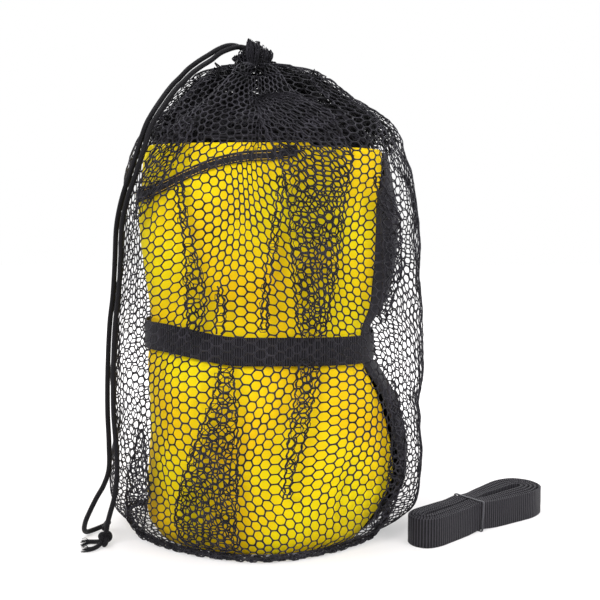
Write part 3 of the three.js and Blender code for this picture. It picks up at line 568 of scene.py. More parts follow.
def strand(name, cad_node, route):
    """One of the drawstring's two free strands, with its middle line and its length."""
    path = catmull(route, False, 14)
    length = lengths_along(path)[-1]
    path = evenly(path, int(length / CORD_STEP))
    return cord_piece(name, cad_node, [tube(path, CORD_RADIUS, 16)]), path, length


outer_cord, outer_path, outer_length = strand("cord_outer", "drawstring_outer_run", OUTER_ROUTE)
inner_cord, inner_path, inner_length = strand("cord_inner", "drawstring_inner_run", INNER_ROUTE)

KNOT_MIDDLE = (-145, -58.5, 7.9)
KNOT_SIZE = (12.6, 12.6, 15.4)
KNOT_TILT = math.radians(62)
KNOT_RADIUS = CORD_RADIUS * 0.92


def knot_piece():
    """The two strands' ends turned round each other and pulled tight: a trefoil, laid on its side."""
    t = np.linspace(0, 2 * np.pi, 200)
    x, y, z = np.sin(t) + 2 * np.sin(2 * t), np.cos(t) - 2 * np.cos(2 * t), -1.5 * np.sin(3 * t)
    c, s = math.cos(KNOT_TILT), math.sin(KNOT_TILT)
    turned = np.stack([x, y * c - z * s, y * s + z * c], 1)
    low, high = turned.min(0), turned.max(0)
    size = np.array(KNOT_SIZE) - 2 * KNOT_RADIUS
    fitted = (turned - (low + high) / 2) / (high - low) * size + KNOT_MIDDLE
    return cord_piece("cord_knot", "drawstring_knot", [tube(evenly(fitted, 110), KNOT_RADIUS, 14)])


THREADS = 34
THREAD_RADIUS = 0.22
THREAD_REACH = (3.5, 7.5)
THREAD_SPREAD = (0.6, 1.8)
THREAD_FALL = (0, 0, -0.8)
THREAD_FLOOR = 0.4


def tail_piece(name, cad_node, route, seed):
    """A short free end whose last few millimetres have come apart into threads."""
    rng = np.random.default_rng(SEED + seed)
    path = evenly(catmull(route, False, 10), 26)
    whole = path[:20]
    swell = np.concatenate([np.full(14, 0.9), np.linspace(0.9, 1.05, 6)]) * CORD_RADIUS
    tubes = [tube(whole, swell, 12)]
    ahead = unit(path[-1] - path[-4])
    for _ in range(THREADS):
        spread = rng.normal(0, 1, 3)
        spread -= ahead * spread.dot(ahead)
        start = whole[-1] + spread * 0.8 - ahead * 1.5
        reach = rng.uniform(*THREAD_REACH)
        end = start + ahead * reach + spread * rng.uniform(*THREAD_SPREAD) + THREAD_FALL
        line = np.stack([start, (start + end) / 2 + spread * 0.5, end])
        line[:, 2] = np.maximum(line[:, 2], THREAD_FLOOR)
        tubes.append(tube(evenly(catmull(line, False, 4), 6), THREAD_RADIUS, 4))
    return cord_piece(name, cad_node, tubes)


UPPER_TAIL = [(-149.5, -56.8, 5.2), (-151.5, -55.9, 4.0), (-156, -53.5, 2.9), (-162, -53, 2.6),
              (-168, -55.5, 2.6)]
LOWER_TAIL = [(-147.6, -62.3, 5.2), (-149.3, -65, 3.8), (-152.5, -69, 2.9), (-157, -71.5, 2.6),
              (-163.5, -70.5, 2.6)]
knot = knot_piece()
upper_tail = tail_piece("cord_tail_upper", "drawstring_upper_tail", UPPER_TAIL, 1)
lower_tail = tail_piece("cord_tail_lower", "drawstring_lower_tail", LOWER_TAIL, 2)

NECK_X = -9.5
LOOP_TURN = 72
LOOP_RADIUS = 6.6
LOOP_HEIGHT = 461
LOOP_START = [(-8.4, -2.8), (-5.3, -3.5)]  # from the neck's middle


def mouth_loop():
    """The loop inside the gathered mouth, open on the left, where the two strands leave it."""
    turns = np.radians(np.linspace(180 + LOOP_TURN, 540 - LOOP_TURN, 9))
    circle = [(LOOP_RADIUS * math.cos(a), LOOP_RADIUS * math.sin(a)) for a in turns]
    line = LOOP_START + circle + [(x, -y) for x, y in reversed(LOOP_START)]
    path = evenly(catmull([(NECK_X + x, y, LOOP_HEIGHT) for x, y in line], False, 8), 60)
    cord_piece("cord_mouth_loop", "drawstring_mouth_loop", [tube(path, CORD_RADIUS, 14)])


mouth_loop()

# ---- The spare strap's hank ------------------------------------------------------------------------
HANK_ORIGIN = (138, -58)
HANK_TURN = math.radians(39.7)
HANK_LENGTH = 184
CAP_RADIUS = 35 / 2
LOBE_RADIUS = 55 / 2
HALF_WAIST = 34 / 2
WAIST_P = HANK_LENGTH * 0.43
LOBE_P = HANK_LENGTH - LOBE_RADIUS
HANK_LOOPS = 5
WEBBING_WIDTH = 27
WEBBING_THICKNESS = 2.4
LAYER_PITCH = WEBBING_THICKNESS + 0.7
LOOSE_PITCH = 1.4  # how much wider the layers lie in the lobe
LOOSE_FROM = 12  # past the waist
LOOSE_OVER = 55
BAND_RIDE = 1.2 + 0.3
BAND_RIDE_REACH = 20
UNEVEN_RISE = 0.9
UNEVEN_BOW = 0.16
ACROSS = np.array([-1, -0.985, -0.95, -0.6, -0.2, 0.2, 0.6, 0.95, 0.985, 1.0])
THINNED = np.array([0.45, 0.8, 1, 1, 1, 1, 1, 1, 0.8, 0.45])


def hank_turn():
    """One turn of the hank: (p, q) points, p from its left end and q across it."""
    half_way = mix(WAIST_P, LOBE_P, 0.5)
    swell = mix(HALF_WAIST, LOBE_RADIUS, 0.62)
    right = [(half_way, swell), (LOBE_P * 0.99, LOBE_RADIUS),
             (HANK_LENGTH - LOBE_RADIUS * 0.3, LOBE_RADIUS * 0.72)]
    left = [(WAIST_P * 0.55, CAP_RADIUS), (CAP_RADIUS * 0.9, CAP_RADIUS * 0.97),
            (CAP_RADIUS * 0.25, CAP_RADIUS * 0.66)]
    line = [(WAIST_P, HALF_WAIST), *left, (0, 0), *[(p, -q) for p, q in reversed(left)],
            (WAIST_P, -HALF_WAIST), *[(p, -q) for p, q in right], (HANK_LENGTH, 0), *reversed(right)]
    return evenly(catmull([(p, q, 0) for p, q in line], True, 40)[:, :2], 1201)


HANK_OUTLINE = hank_turn()


def hank_to_row(p, q, z):
    """From the hank's own place, along, across and up, to the place beside the bag."""
    x = HANK_ORIGIN[0] + p * math.cos(HANK_TURN) - q * math.sin(HANK_TURN)
    y = HANK_ORIGIN[1] + p * math.sin(HANK_TURN) + q * math.cos(HANK_TURN)
    return np.stack([x, y, z], -1)


def hank_piece():
    """The folded webbing: one long strip that winds inward, turn after turn."""
    steps = HANK_LOOPS * 110 + 1
    loops = np.linspace(0, HANK_LOOPS, steps)
    inward = sideways(unit(np.gradient(HANK_OUTLINE, axis=0)))
    to_middle = np.array([HANK_LENGTH / 2, 0]) - HANK_OUTLINE
    inward *= np.where(np.sum(inward * to_middle, 1) < 0, -1, 1)[:, None]
    numbers = np.arange(len(HANK_OUTLINE))
    on, into = (on_line((loops % 1) * numbers[-1], numbers, line) for line in (HANK_OUTLINE, inward))
    loose = mix(1, LOOSE_PITCH, ease((on[:, 0] - WAIST_P - LOOSE_FROM) / LOOSE_OVER))
    middle = on + into * (loops * LAYER_PITCH * loose + WEBBING_THICKNESS / 2)[:, None]
    from_band = np.abs(middle[:, 0] - WAIST_P)
    foot = BAND_RIDE * np.maximum(0, 1 - (from_band / BAND_RIDE_REACH)**2)**2
    wobble, lift = Noise(31, 1.3), Noise(32, 2.1)
    rise = np.abs(lift(loops * 1.7, loops * 0)) * UNEVEN_RISE * ease(from_band / 30)
    run = lengths_along(middle)
    sides = []
    for side in (1, -1):
        grid = []
        for v, thin in zip(ACROSS, THINNED):
            bow = wobble(loops * 3, np.full(steps, v)) * UNEVEN_BOW
            p, q = (middle + into * (-side * thin * WEBBING_THICKNESS / 2 * 0.96 + bow)[:, None]).T
            up = (v + 1) / 2
            grid.append(hank_to_row(p, q, foot + rise * (0.35 + 0.65 * up) + WEBBING_WIDTH * up))
        sides.append(np.stack(grid, 1))
    piece = sheet_piece("hank_webbing", *sides, run[:, None], ACROSS * WEBBING_WIDTH / 2, HANK_WEBBING,
                        "black_webbing", "spare_strap_webbing", SPARE)


hank_piece()

BAND_CORNER = 1.4
BAND_GAP = 0.6
BAND_SECTION = [(-1.1, 0.0), (-0.95, 0.42), (0, 0.55), (0.95, 0.42), (1.1, 0.0), (0.95, -0.42),
                (-0.95, -0.42)]


def hank_band():
    """The thin elastic round the hank: a flat ring with soft corners that bites into the webbing."""
    low, high = 0.35, BAND_RIDE + WEBBING_WIDTH + 0.85
    half = HALF_WAIST + BAND_GAP - BAND_CORNER
    bottom, top = low + BAND_CORNER, high - BAND_CORNER
    line = []
    for q, z, first in ((half, top, 0), (-half, top, 90), (-half, bottom, 180), (half, bottom, 270)):
        for step in range(0, 91, 15):
            turn = math.radians(first + step)
            line.append((q + BAND_CORNER * math.cos(turn), z + BAND_CORNER * math.sin(turn)))
    line = evenly(np.array(line + line[:1]), 141)[:-1]
    out = sideways(unit(np.roll(line, -1, 0) - np.roll(line, 1, 0)))
    drift = Noise(33, 14)(line[:, 0], line[:, 1]) * 0.6 + (line[:, 1] / high - 0.5) * 1.5
    grid = []
    for along, lift in BAND_SECTION:
        q, z = (line + out * lift).T
        grid.append(hank_to_row(WAIST_P + along + drift, q, np.maximum(z, 0.05)))
    points = np.stack(grid, 1).reshape(-1, 3)
    count = len(BAND_SECTION)
    faces = grid_faces(len(line) + 1, count, closed_columns=True) % len(points)
    uv = np.stack(np.meshgrid(np.arange(len(line)) * 0.0009, np.arange(count) * 0.0005, indexing="ij"), -1)
    piece = mesh_object("hank_band", points, facing_out(points, faces), ELASTIC, uv=uv.reshape(-1, 2))
    dressed(piece, "spare_strap_band", SPARE)


hank_band()

# ---- The outlines of the bundle and the bag --------------------------------------------------------
BUNDLE_HEIGHT = 366
STRAP_HEIGHT = 183
STRAP_SHARE = STRAP_HEIGHT / BUNDLE_HEIGHT
HALF_WIDTH = 120
FRONT_DEPTH = 82
BACK_DEPTH = 80
FOOT_SQUARENESS = 2.1
BUNDLE_SQUARENESS = 3.5
left_share = profile([
    (0, 0.885), (0.05, 0.972), (0.12, 0.966), (0.2, 0.953), (0.27, 0.938), (0.34, 0.936), (0.44, 0.946),
    (STRAP_SHARE, 0.937), (0.55, 0.922), (0.6, 0.928), (0.66, 0.95), (0.73, 0.975), (0.8, 0.992), (0.88, 1),
    (0.95, 0.985), (1, 0.962)])
right_share = profile([
    (0, 0.8), (0.05, 0.93), (0.11, 1.035), (0.165, 1.083), (0.23, 1.092), (0.29, 1.07), (0.35, 1.02),
    (0.41, 0.945), (STRAP_SHARE - 0.045, 0.875), (STRAP_SHARE + 0.045, 0.868), (0.6, 0.93), (0.66, 0.965),
    (0.73, 0.99), (0.82, 1), (0.93, 0.99), (1, 0.975)])
front_share = profile([
    (0, 1.02), (0.04, 1.09), (0.12, 1.11), (0.22, 1.095), (0.35, 1.01), (STRAP_SHARE - 0.045, 0.918),
    (STRAP_SHARE + 0.07, 0.92), (0.7, 0.98), (0.84, 1), (0.95, 0.98), (1, 0.94)])
back_share = profile([
    (0, 0.94), (0.14, 1.05), (0.3, 1.03), (STRAP_SHARE - 0.05, 0.922), (STRAP_SHARE + 0.08, 0.922),
    (0.7, 1), (0.9, 0.99), (1, 0.95)])


def bundle_reach(z, offset):
    """How far the bundle reaches to the left, right, front and back at a height."""
    share = z / BUNDLE_HEIGHT
    return [HALF_WIDTH * left_share(share) + offset, HALF_WIDTH * right_share(share) + offset,
            FRONT_DEPTH * front_share(share) + offset, BACK_DEPTH * back_share(share) + offset]


def bundle_squareness(z):
    """The bundle's section is oval at its foot and squarer further up."""
    return mix(FOOT_SQUARENESS, BUNDLE_SQUARENESS, ease(z / BUNDLE_HEIGHT / 0.24))


def outline(angle, reach, squareness, x=0.0, y=0.0):
    """A rounded outline's points. Angle 0 is +X and 90 the back, in degrees."""
    left, right, front, back = reach
    c, s = np.cos(np.radians(angle)), np.sin(np.radians(angle))
    across = np.sign(c) * np.abs(c)**(2 / squareness) * np.where(c > 0, right, left)
    along = np.sign(s) * np.abs(s)**(2 / squareness) * np.where(s > 0, back, front)
    return x + across, y + along


def bundle_point(angle, z, offset):
    x, y = outline(angle, bundle_reach(z, offset), bundle_squareness(z))
    return np.stack([x, y, z + 0 * x], -1)


STRAP_SEAT = 2.826
LAP_OFFSET = 4.3
BACK_CLEARANCE = 1.8
SLACK = (29, 31, 5.2, 13)
BASE_SETBACK = 10
slack_left = profile([
    (0, 0.95), (0.06, 1.08), (0.11, 1.2), (0.17, 1.12), (0.22, 1.07), (0.27, 1), (0.34, 1.04), (0.42, 1.03),
    (0.5, 1.01), (0.56, 1.02), (0.63, 0.86), (0.72, 0.61), (0.82, 0.45), (0.92, 0.3), (1, 0.2)])
slack_right = profile([
    (0, 0.9), (0.06, 1.05), (0.11, 0.85), (0.17, 0.67), (0.22, 0.6), (0.27, 0.57), (0.31, 0.64), (0.345, 0.7),
    (0.39, 1.0), (0.45, 1.41), (0.5, 1.49), (0.56, 1.36), (0.63, 1.04), (0.72, 0.84), (0.82, 0.75),
    (0.92, 0.6), (1, 0.43)])
slack_front = profile([(0, 1.1), (0.06, 1.3), (0.3, 1.1), (1, 1)])
slack_back = profile([(0, 1.0), (0.12, 1.2), (0.3, 1.1), (0.6, 1.1), (1, 0.9)])


def from_base(z):
    return ease((z / BUNDLE_HEIGHT - 0.06) / 0.26)


def bag_reach(z):
    """How far the bag stands out to the left, right, front and back, and how far back it is set."""
    share = z / BUNDLE_HEIGHT
    slack = [most * part(share) for most, part in
             zip(SLACK, (slack_left, slack_right, slack_front, slack_back))]
    setback = BASE_SETBACK * (1 - from_base(z))
    further = (0, 0, setback, LAP_OFFSET + BACK_CLEARANCE - setback)
    return [r + s + f for r, s, f in zip(bundle_reach(z, STRAP_SEAT), slack, further)], setback


# ---- The folded net: yellow wrap, inner fold, binding, sleeve and the netting inside ---------------
BUNDLE_FOOT = 1.9
WRAP_OUTSIDE = -2.8
CLOTH = 2.0
FOLD_OUTSIDE = -5.6
CORE_OUTSIDE = -8.4
BINDING_OUTSIDE = -0.8
GIRTH_PER_DEGREE = 1.95
YELLOW_CREASE = [(17, 338), (6, 310), (-8, 272), (-20, 246), (-30, 229), (-36, 205)]
CREASE_WIDTH = 3.2
CREASE_DEPTH = 1.9
CREASE_FADE = 18
STRAP_PINCH = 1.7
PINCH_REACH = 62
BILLOW_SIZE = 1.5
CRUMPLE_SIZE = 0.45
PUSH_LIMITS = (-4.2, 0.9)
pinch_waves = Noise(41, 26, 7)
billow = Noise(42, 150, 8)
crumple = Noise(43, 46, 10)
sleeve_folds = Noise(47, 60, 9)
sleeve_crumple = Noise(48, 22, 9)


def girth_at(angle):
    """Roughly how far round the bundle an angle is, in millimetres."""
    return np.asarray(angle, float) * GIRTH_PER_DEGREE


def creased(x, z, line, width, depth):
    """A soft furrow along a line of (x, z) points, fading at its two ends."""
    furrow = np.exp(-((x - edge_at(line, z)) / width)**2)
    return -depth * furrow * within(z, [p[1] for p in line], CREASE_FADE)


def cloth_push(angle, z):
    """How far the folded cloth stands off its plain outline. Negative is inward."""
    along = girth_at(angle)
    near_strap = np.exp(-((z - STRAP_HEIGHT) / PINCH_REACH)**2)
    pinched = -near_strap * (STRAP_PINCH * np.maximum(pinch_waves(along, z * 0.12), -0.2) + 0.3)
    broad = BILLOW_SIZE * (billow(along, z) - 0.6)
    small = CRUMPLE_SIZE * crumple(along, z)
    x, y = outline(angle, bundle_reach(z, WRAP_OUTSIDE), bundle_squareness(z))
    furrow = np.where(y < 0, creased(x, z, YELLOW_CREASE, CREASE_WIDTH, CREASE_DEPTH), 0)
    return np.clip((pinched + broad + small) * ease((z - 4) / 16) + furrow, *PUSH_LIMITS)


def pushed(angle, z, offset):
    """A point on the folded cloth, so far off the bundle's plain outline."""
    return bundle_point(angle, z, offset + cloth_push(angle, z))


WRAP_TOP = 362
LAPEL_DROP = 36.5
WRAP_FRONT_EDGE = -38
WRAP_FAR_EDGE = 46 - 360
EDGE_BLEND = 24
SLEEVE_BACK_EDGE = 44.8
SLEEVE_FRONT_EDGE = -36.8
SLEEVE_HEIGHT = 360
SLEEVE_BULGE = 7.5
SLEEVE_PINCH_HEIGHT = 187
TAPE_HEIGHT = 8
lapel_profile = profile([
    (-246, 0), (-214, 0.7), (-176, 0.985), (-158, 1), (-146, 0.96), (-134, 0.89), (-122, 0.755),
    (-110, 0.535), (-98, 0.275), (-84, 0)])
edge_shift = profile([
    (0, 11), (0.1, 10), (0.17, 12), (0.27, 8), (0.42, 7.5), (0.46, 5), (0.5, 2.5), (0.6, 2.5), (0.68, 0),
    (0.82, 0), (0.88, 4), (0.93, 11), (1, 16)])


def wrap_top(angle):
    """The wrap's slanted top edge, which falls towards the left of the front."""
    return WRAP_TOP - LAPEL_DROP * lapel_profile(np.where(angle > 0, angle - 360, angle))


def follow_edge(angle, z):
    """The wrap's front edge wanders with height, and the cloth near it goes with it."""
    away = np.abs(angle - WRAP_FRONT_EDGE) / EDGE_BLEND
    return angle + edge_shift(z / BUNDLE_HEIGHT) * (1 - ease(away))


def tape_height(angle):
    """How far the binding hangs down outside, which grows towards the left."""
    return TAPE_HEIGHT * mix(1, 1.3, ease((-95 - angle) / 60))


def edge_softness(t):
    """The cloth's top edge leans in a little, as a fold would."""
    return -1.1 * ease((t - 0.955) / 0.045) - 0.5 * ease((0.02 - t) / 0.02)


def sleeve_fullness(turns, z, t):
    """The sleeve's loose folds stand out past the wrap's edge, but not under the strap."""
    middle = ease((turns - SLEEVE_FRONT_EDGE) / 12) * ease((SLEEVE_BACK_EDGE - turns) / 24)
    free = 1 - np.exp(-((z - SLEEVE_PINCH_HEIGHT) / 30)**2)
    free = free * ease(z / 45) * mix(0.35, 1, ease((SLEEVE_HEIGHT - z) / 60))
    uneven = 1.6 * np.abs(sleeve_folds(turns * 2.1, z)) + 0.9 * sleeve_crumple(turns * 2.1, z)
    return edge_softness(t) + middle * free * (SLEEVE_BULGE + uneven)


def cloth_piece(name, cad_node, angles, high, offset, rows, look, slot, low=BUNDLE_FOOT, follows=True,
                lean=None):
    """A cloth that follows the bundle from a low to a high edge, each one height or one per angle."""
    t = np.linspace(0, 1, rows)[:, None]
    z = low + (high - low) * t + 0 * angles
    turns = follow_edge(angles + 0 * z, z) if follows else angles + 0 * z
    stand = offset + (lean(turns, z, t) if lean else 0)
    outer = pushed(turns, z, stand)
    inner = pushed(turns, z, stand - CLOTH)
    return sheet_piece(name, outer, inner, girth_at(turns), z, look, slot, cad_node)


wrap_angles = np.linspace(WRAP_FRONT_EDGE, WRAP_FAR_EDGE, 231)
yellow_wrap = cloth_piece("yellow_wrap", "yellow_band_wrap", wrap_angles, wrap_top(wrap_angles), WRAP_OUTSIDE,
                          130, YELLOW, "yellow_cloth")

inner_fold = cloth_piece("yellow_inner_fold", "yellow_band_inner_fold", np.linspace(-78, -186, 95),
                         BUNDLE_HEIGHT, FOLD_OUTSIDE, 64, YELLOW, "yellow_cloth", low=196, follows=False)

sleeve_angles = np.linspace(SLEEVE_BACK_EDGE, SLEEVE_FRONT_EDGE, 75)
sleeve = cloth_piece("side_sleeve", "side_sleeve_fold", sleeve_angles, SLEEVE_HEIGHT, WRAP_OUTSIDE, 130,
                     SLEEVE, "black_cloth", lean=sleeve_fullness)

# The binding's section: how far out, how high over the wrap's edge and how thick, from its outer hem
# over the edge to its inner hem
TAPE_SECTION = [(-1.4, -7.0, 1.1), (-1.4, -6.6, 1.2), (-1.4, -4.8, 1.2), (-1.4, -3.0, 1.2),
                (-1.45, -1.2, 1.2), (-1.6, 0.1, 1.2), (-2.4, 0.95, 1.1), (-3.5, 1.15, 0.9),
                (-4.6, 0.85, 0.7), (-5.1, 0.0, 0.5), (-5.2, -1.2, 0.4), (-5.2, -3.0, 0.4), (-5.2, -6.2, 0.4)]
TAPE_DRAWN = -TAPE_SECTION[0][1]
BINDING_TURNS = (-84, -176)


def edge_tape():
    """The binding: a tape folded over the wrap's top edge."""
    offset, height, thick = np.array(TAPE_SECTION).T
    line = np.stack([offset, height], 1)
    out = sideways(unit(np.gradient(line, axis=0)))
    angles = np.linspace(*BINDING_TURNS, 140)[:, None] + 0 * offset
    top = wrap_top(angles)
    push = cloth_push(angles, top - 4)
    grids = []
    for side in (1, -1):
        o = offset + side * out[:, 0] * thick / 2
        h = height + side * out[:, 1] * thick / 2
        reach = np.where(h < -1, tape_height(angles) / TAPE_DRAWN, 1)
        grids.append(bundle_point(angles, top + h * reach, o + push))
    run = lengths_along(grids[0][:, 3])
    up = lengths_along(line * [1, 1.25])
    piece = sheet_piece("edge_binding", *grids, run[:, None], up, BINDING, "black_cloth",
                        "black_edge_binding")


edge_tape()

STITCH_ROWS = (0.16, 0.84)
STITCH_PITCH = 1.45  # degrees, as is the length
STITCH_LENGTH = 0.95
STITCH_LIFT = np.array([-0.15, 0.12, 0.2, 0.12, -0.15])


def stitches():
    """Two rows of gold thread through the binding, one dash after another."""
    tubes = []
    for row in STITCH_ROWS:
        for a in np.arange(-85, -175.5, -STITCH_PITCH):
            turns = a - np.linspace(0, STITCH_LENGTH, len(STITCH_LIFT))
            z = wrap_top(turns) - row * tape_height(turns)
            tubes.append(tube(pushed(turns, z, BINDING_OUTSIDE + STITCH_LIFT), 0.28, 5))
    points, faces, uv = joined_tubes(tubes)
    dressed(mesh_object("binding_stitches", points, faces, STITCH, uv=uv))


stitches()

CORE_SHOULDER = 358
CROWN = 50
CROWN_SPARE = 8
CROWN_SHARE = 0.16  # of the bundle's width, at the crown's top
RIDGE_SIZE = 4.5
LUMP_SIZE = 6
lumps = Noise(44, 38, 12)
folds = Noise(45, 17, 12)


def core_surface(angle, share, sink):
    """A point on the folded netting: share 0..1 is its side and 1..2 its crown."""
    side_z = mix(BUNDLE_FOOT + 1, CORE_SHOULDER, np.clip(share, 0, 1))
    rise = np.clip(share - 1, 0, 1)
    drawn = mix(CROWN_SHARE, 1, np.sqrt(np.maximum(0, 1 - rise**2))) - 0.04 * (share > 1)
    reach = bundle_reach(side_z, CORE_OUTSIDE - sink + cloth_push(angle, side_z))
    x, y = outline(angle, [r * drawn for r in reach], bundle_squareness(side_z), NECK_X * rise)
    top = mix(CORE_SHOULDER, CORE_SHOULDER + CROWN + CROWN_SPARE, rise)
    return np.stack([x, y, np.where(share > 1, top, side_z)], -1)


def folded_netting():
    """The bundle's inside: the folded net as one soft, ridged body, in the darker copy of the net yarn, whose
    colour is painted shade.
    """
    angles = np.linspace(0, 360, 301)[:-1]
    share = np.concatenate([np.linspace(0, 1, 90), 1 + np.sin(np.linspace(0.02, 1, 60) * np.pi / 2)])
    a, s = np.broadcast_arrays(angles[None, :], share[:, None])
    up = s * 200
    along = girth_at(a)
    ridges = np.abs(folds(along, up)) * RIDGE_SIZE + np.abs(lumps(along, up)) * LUMP_SIZE
    sink = 1 + ridges * ease((s - 0.55) / 0.4) + 0.6 * np.abs(folds(along, up))
    points = core_surface(a, s, sink)
    points[..., 2] -= ease((s - 1) / 0.2) * np.abs(lumps(along * 1.3, up)) * 5
    flat = np.concatenate([points.reshape(-1, 3), [points[0].mean(0), points[-1].mean(0)]])
    faces = capped(*a.shape, len(flat) - 2, len(flat) - 1)
    piece = dressed(mesh_object("folded_netting", flat, faces, SHADED_NET_YARN), "folded_netting_core")


folded_netting()

LOOSE_STRANDS = 150
STRAND_STARTS = (0.93, 1.9)
STRAND_LIMITS = (0.86, 1.97)
STRAND_POINTS = (9, 20)
STRAND_STEP = 4.2  # degrees
STRAND_CLIMB = 0.055
STRAND_BEND = 0.55
STRAND_RADII = (0.75, 1.1)


def netting_strands():
    """Strands of the folded net, wandering over the mound on top and down into the wrap."""
    rng = np.random.default_rng(SEED + 50)
    tubes = []
    for _ in range(LOOSE_STRANDS):
        angle = rng.uniform(0, 360)
        share = rng.uniform(*STRAND_STARTS)
        heading = rng.uniform(0, 2 * np.pi)
        line = []
        for _ in range(rng.integers(*STRAND_POINTS)):
            line.append((angle, share))
            heading += rng.normal(0, STRAND_BEND)
            reach = max(0.25, math.sqrt(max(0.02, 1 - max(0, share - 1)**2)))
            angle += math.cos(heading) * STRAND_STEP / reach
            share = float(np.clip(share + math.sin(heading) * STRAND_CLIMB, *STRAND_LIMITS))
        a, s = evenly(catmull(line, False, 6), len(line) * 7).T
        loose = 1.2 + 2.2 * np.abs(lumps(girth_at(a), s * 200 + rng.uniform(0, 50)))
        path = core_surface(a, s, -0.4 - loose * 0.5 + 2.5 * ease((1.0 - s) / 0.1))
        tubes.append(tube(path, rng.uniform(*STRAND_RADII), 6))
    points, faces, uv = joined_tubes(tubes)
    dressed(mesh_object("netting_strands", points, faces, NET_YARN, uv=uv))


netting_strands()

# ---- The strap round the bundle --------------------------------------------------------------------
STRAP_WIDTH = 25.5
STRAP_THICKNESS = 1.8
STRAP_SETTLE = 1.15
STRAP_CLIMB = 12
STRAP_INSIDE = STRAP_SEAT + WRAP_OUTSIDE + 0.3 - STRAP_SETTLE
CLOSURE_START = 62
LAP_RAMP = 26
LAP_END = CLOSURE_START + 394
PATCH_WIDTH = STRAP_WIDTH - 5
PATCH_ANGLES = np.linspace(64.5, 93.5, 60)
EDGE_TO_EDGE = np.array([-1, -0.96, -0.9, -0.45, 0, 0.45, 0.9, 0.96, 1])


def strap_middle(angle):
    """The strap's own height, which climbs a little towards the left."""
    x, _ = outline(angle, bundle_reach(STRAP_HEIGHT, 0), BUNDLE_SQUARENESS)
    return STRAP_HEIGHT + STRAP_CLIMB * ease((-x - 15) / 85)


def strap_point(angle, lift, v):
    middle = strap_middle(angle)
    x, y = outline(angle, bundle_reach(middle, lift), BUNDLE_SQUARENESS)
    return np.stack([x, y, middle + v], -1)


def strip(name, cad_node, angles, lift, thickness, width, look, slot):
    """A flat strip on the strap's way round, with thin rounded edges, and its length."""
    a = angles[:, None]
    v = EDGE_TO_EDGE * width / 2
    half = thickness / 2 * (1 - 0.55 * np.clip((np.abs(EDGE_TO_EDGE) - 0.93) / 0.07, 0, 1))
    middle = np.broadcast_to(lift, len(angles))[:, None] + thickness / 2
    outer, inner = strap_point(a, middle + half, v), strap_point(a, middle - half, v)
    run = lengths_along(outer[:, len(v) // 2])
    return sheet_piece(name, outer, inner, run[:, None], v, look, slot, cad_node), run[-1]


strap_angles = np.linspace(CLOSURE_START, LAP_END, 330)
strap_lift = STRAP_INSIDE + LAP_OFFSET * ease((strap_angles - CLOSURE_START - 360 + LAP_RAMP) / LAP_RAMP)
strap, strap_length = strip("bundle_strap", "wrap_strap", strap_angles, strap_lift, STRAP_THICKNESS,
                            STRAP_WIDTH, STRAP_WEBBING, "black_webbing")
strip("loop_patch", "strap_loop_patch", PATCH_ANGLES, STRAP_INSIDE + 2.1, 0.9, PATCH_WIDTH, PATCH,
      "black_cloth")
strip("hook_patch", "strap_hook_patch", PATCH_ANGLES, STRAP_INSIDE + 3.3, 0.7, PATCH_WIDTH, PATCH,
      "black_cloth")

# ---- The mesh bag ----------------------------------------------------------------------------------
BAG_BASE_Z = 7.0
BAG_SQUARENESS = 2.6
BASE_SQUARENESS = 1.72
SHOULDER_RISE = 78
NECK_RADIUS = 17
NECK_SQUARENESS = 2
NECK_Z = BUNDLE_HEIGHT + SHOULDER_RISE
TUFT_RISE = 25
TUFT_SWELL = 1.28
RIM_DROP_LEFT = 12
RIM_DROP_RIGHT = 8
PULL_LEFT = profile([(0, 0), (0.1, 0.02), (0.34, 0.124), (0.45, 0.195), (0.68, 0.38), (0.85, 0.533),
                     (0.94, 0.66), (0.985, 0.84), (1, 1)])
PULL_RIGHT = profile([(0, 0), (0.1, 0.025), (0.34, 0.104), (0.45, 0.179), (0.68, 0.376), (0.85, 0.525),
                      (0.94, 0.68), (0.985, 0.86), (1, 1)])
LOW_Z = BUNDLE_HEIGHT * 0.06
BASE_INSET = (14, 28, 3.75, 3.75)
BASE_REACH = [bulge - inset for bulge, inset in zip(bag_reach(LOW_Z)[0], BASE_INSET)]
CORNER_LIFT = 9
LIFT_FROM = 0.82
COLUMNS = 114
COLUMN_PITCH = 7.15
ROW_PITCH = 8.75
GATHERED_GIRTH = 994.0
SAMPLES = 1596
TURNS = np.linspace(90, 450, 2161)
FRONT_TURN = 270  # the cloth's columns are evenly spaced from here towards both sides


def corner_rise(x):
    """How far the base curls up at its left and right ends."""
    side = np.where(x < 0, BASE_REACH[0], BASE_REACH[1])
    return CORNER_LIFT * ease((np.abs(x) / side - LIFT_FROM) / (1 - LIFT_FROM))


def base_ring(height):
    x, y = outline(TURNS, BASE_REACH, BASE_SQUARENESS, 0, BASE_SETBACK)
    return x, y, height + corner_rise(x)


def shoulder_pulls(rise):
    """How far the left, right, front and back have drawn in to the neck."""
    left, right = float(PULL_LEFT(rise)), float(PULL_RIGHT(rise))
    return [left, right, (left + right) / 2, (left + right) / 2]


